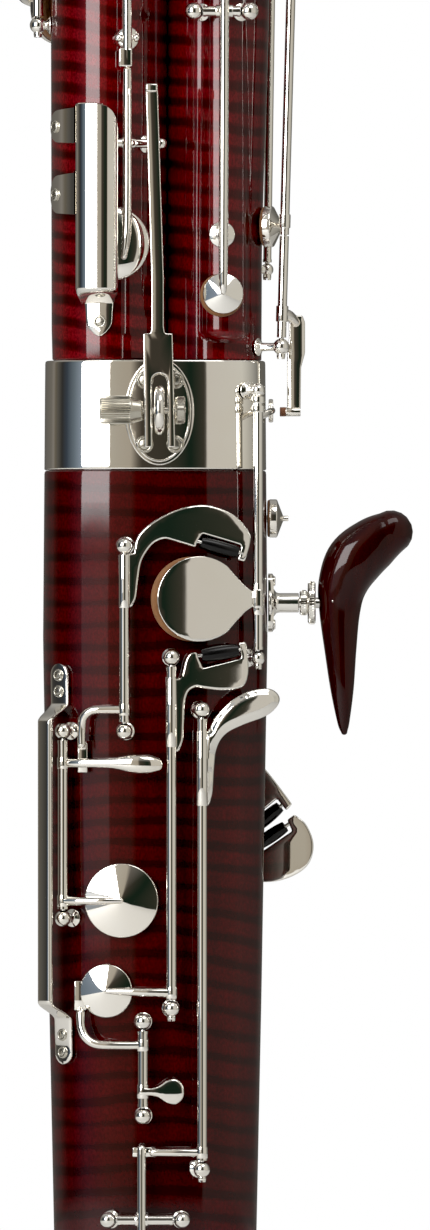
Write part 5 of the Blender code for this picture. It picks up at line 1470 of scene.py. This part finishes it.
def bend_tube():
    """The U-bend is sealed in the cap; the CAD's own solid stays, with a metal finish."""
    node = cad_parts["u_bend"]
    node.data.materials.clear()
    node.data.materials.append(LOOKS["nickel"][0])


# ---- floor, light and camera ----

def studio():
    bm = bmesh.new()
    bmesh.ops.create_circle(bm, cap_ends=True, radius=1.5, segments=96)
    mesh = bpy.data.meshes.new("floor")
    bm.to_mesh(mesh)
    bm.free()
    floor = linked("floor", mesh)
    floor.location.z = -0.0005
    n = Nodes("pale_floor")
    n.set(Base_Color=n.mix(n.noise(3.0), (0.80, 0.80, 0.79), (0.76, 0.76, 0.755)), Roughness=0.7)
    mesh.materials.append(n.made)

    n = Nodes("studio", bpy.data.worlds, "Background")
    bpy.context.scene.world = n.made
    x, y, z = n.add("ShaderNodeSeparateXYZ",
        {0: n.add("ShaderNodeTexCoord").outputs["Generated"]}).outputs
    # Azimuth is 0.5 towards the camera side, falls to the left and rises to the right.
    azimuth = n.math("MULTIPLY", n.math("ARCTAN2", x, n.math("MULTIPLY", y, -1.0)), 1 / (2 * pi))
    sides = n.ramp(n.math("ADD", azimuth, 0.5), studio_bands())
    # Overhead and underfoot the room is brighter than round the sides.
    rise = n.ramp(n.math("ABSOLUTE", z), ((0.35, 0.0), (0.7, 0.45)))
    n.set(Color=n.mix(rise, sides, (0.62, 0.61, 0.59)), Strength=1.0)
    backdrop = n.add("ShaderNodeBackground", {0: (1.0, 1.0, 1.0), 1: 1.0})
    seen = n.add("ShaderNodeLightPath").outputs["Is Camera Ray"]
    choice = n.add("ShaderNodeMixShader", {0: seen, 1: n.shader.outputs[0], 2: backdrop.outputs[0]})
    n.put(n.tree.nodes["World Output"].inputs[0], choice.outputs[0])

    softbox("key_softbox", (-0.90, -1.38, 1.06), 0.80, 1.29, 29.0)
    softbox("low_softbox", (-0.90, -1.39, 0.26), 0.76, 0.26, 0.32)
    softbox("top_softbox", (0.5, -0.9, 2.0), 1.0, 0.8, 9.0)


def studio_bands():
    """Light round the horizon, as colour-ramp stops made from degrees left of the camera side."""
    bands = ((180, (0.10, 0.097, 0.09)), (122, (0.16, 0.15, 0.135)), (112, (0.22, 0.205, 0.185)),
        (104, (0.13, 0.115, 0.09)), (97, (0.10, 0.095, 0.085)), (84, (0.035, 0.035, 0.035)),
        (72, (0.045, 0.058, 0.078)), (58, (0.13, 0.165, 0.20)), (47, (0.24, 0.29, 0.36)),
        (24, (0.44, 0.41, 0.35)), (7, (0.38, 0.34, 0.28)), (3.5, (0.06, 0.05, 0.04)),
        (-12, (0.012, 0.022, 0.016)), (-22.4, (0.05, 0.045, 0.035)), (-23.6, (0.56, 0.53, 0.48)),
        (-70, (0.58, 0.56, 0.50)), (-105, (0.30, 0.29, 0.265)), (-125, (0.14, 0.135, 0.12)),
        (-180, (0.10, 0.097, 0.09)))
    return [((0.5 - degrees_left / 360), colour) for degrees_left, colour in bands]


def softbox(name, place, width, height, power):
    light = bpy.data.lights.new(name, "AREA")
    light.shape = "RECTANGLE"
    light.size, light.size_y = width, height
    light.energy = power
    made = linked(name, light)
    made.location = place
    aim = Vector((0.0, 0.0, min(place[2], 1.1))) - Vector(place)
    made.rotation_euler = aim.to_track_quat("-Z", "Y").to_euler()


def camera():
    """A long lens square to the boot's back, and a view with deep blacks."""
    sensor, distance, nearer, framed = 36.0, 4.0, 0.02, 0.46125
    lens = bpy.data.cameras.new("camera")
    lens.sensor_fit = "VERTICAL"
    lens.sensor_height = sensor
    lens.lens = sensor * (distance - nearer) / framed
    lens.clip_end = 20.0
    placed = linked("camera", lens)
    placed.location = (0.0225, -distance, 0.3444)
    placed.rotation_euler = (pi / 2, 0, 0)
    bpy.context.scene.camera = placed
    view = bpy.context.scene.view_settings
    view.view_transform = "Standard"
    view.use_curve_mapping = True
    view.curve_mapping.black_level = (0.006, 0.006, 0.006)
    view.curve_mapping.update()


def main():
    builders = (bodies, joints, bocal, strap_and_hanger, pad_guard, key_guard, hand_rest,
                low_e, b_flat, f_sharp, g_sharp, pad_key, trill,
                wing_side, wing_lever, trill_on_wing, long_levers, whisper,
                front_keys, bell_key, bend_tube, studio, camera)
    for build in builders:
        build()


main()
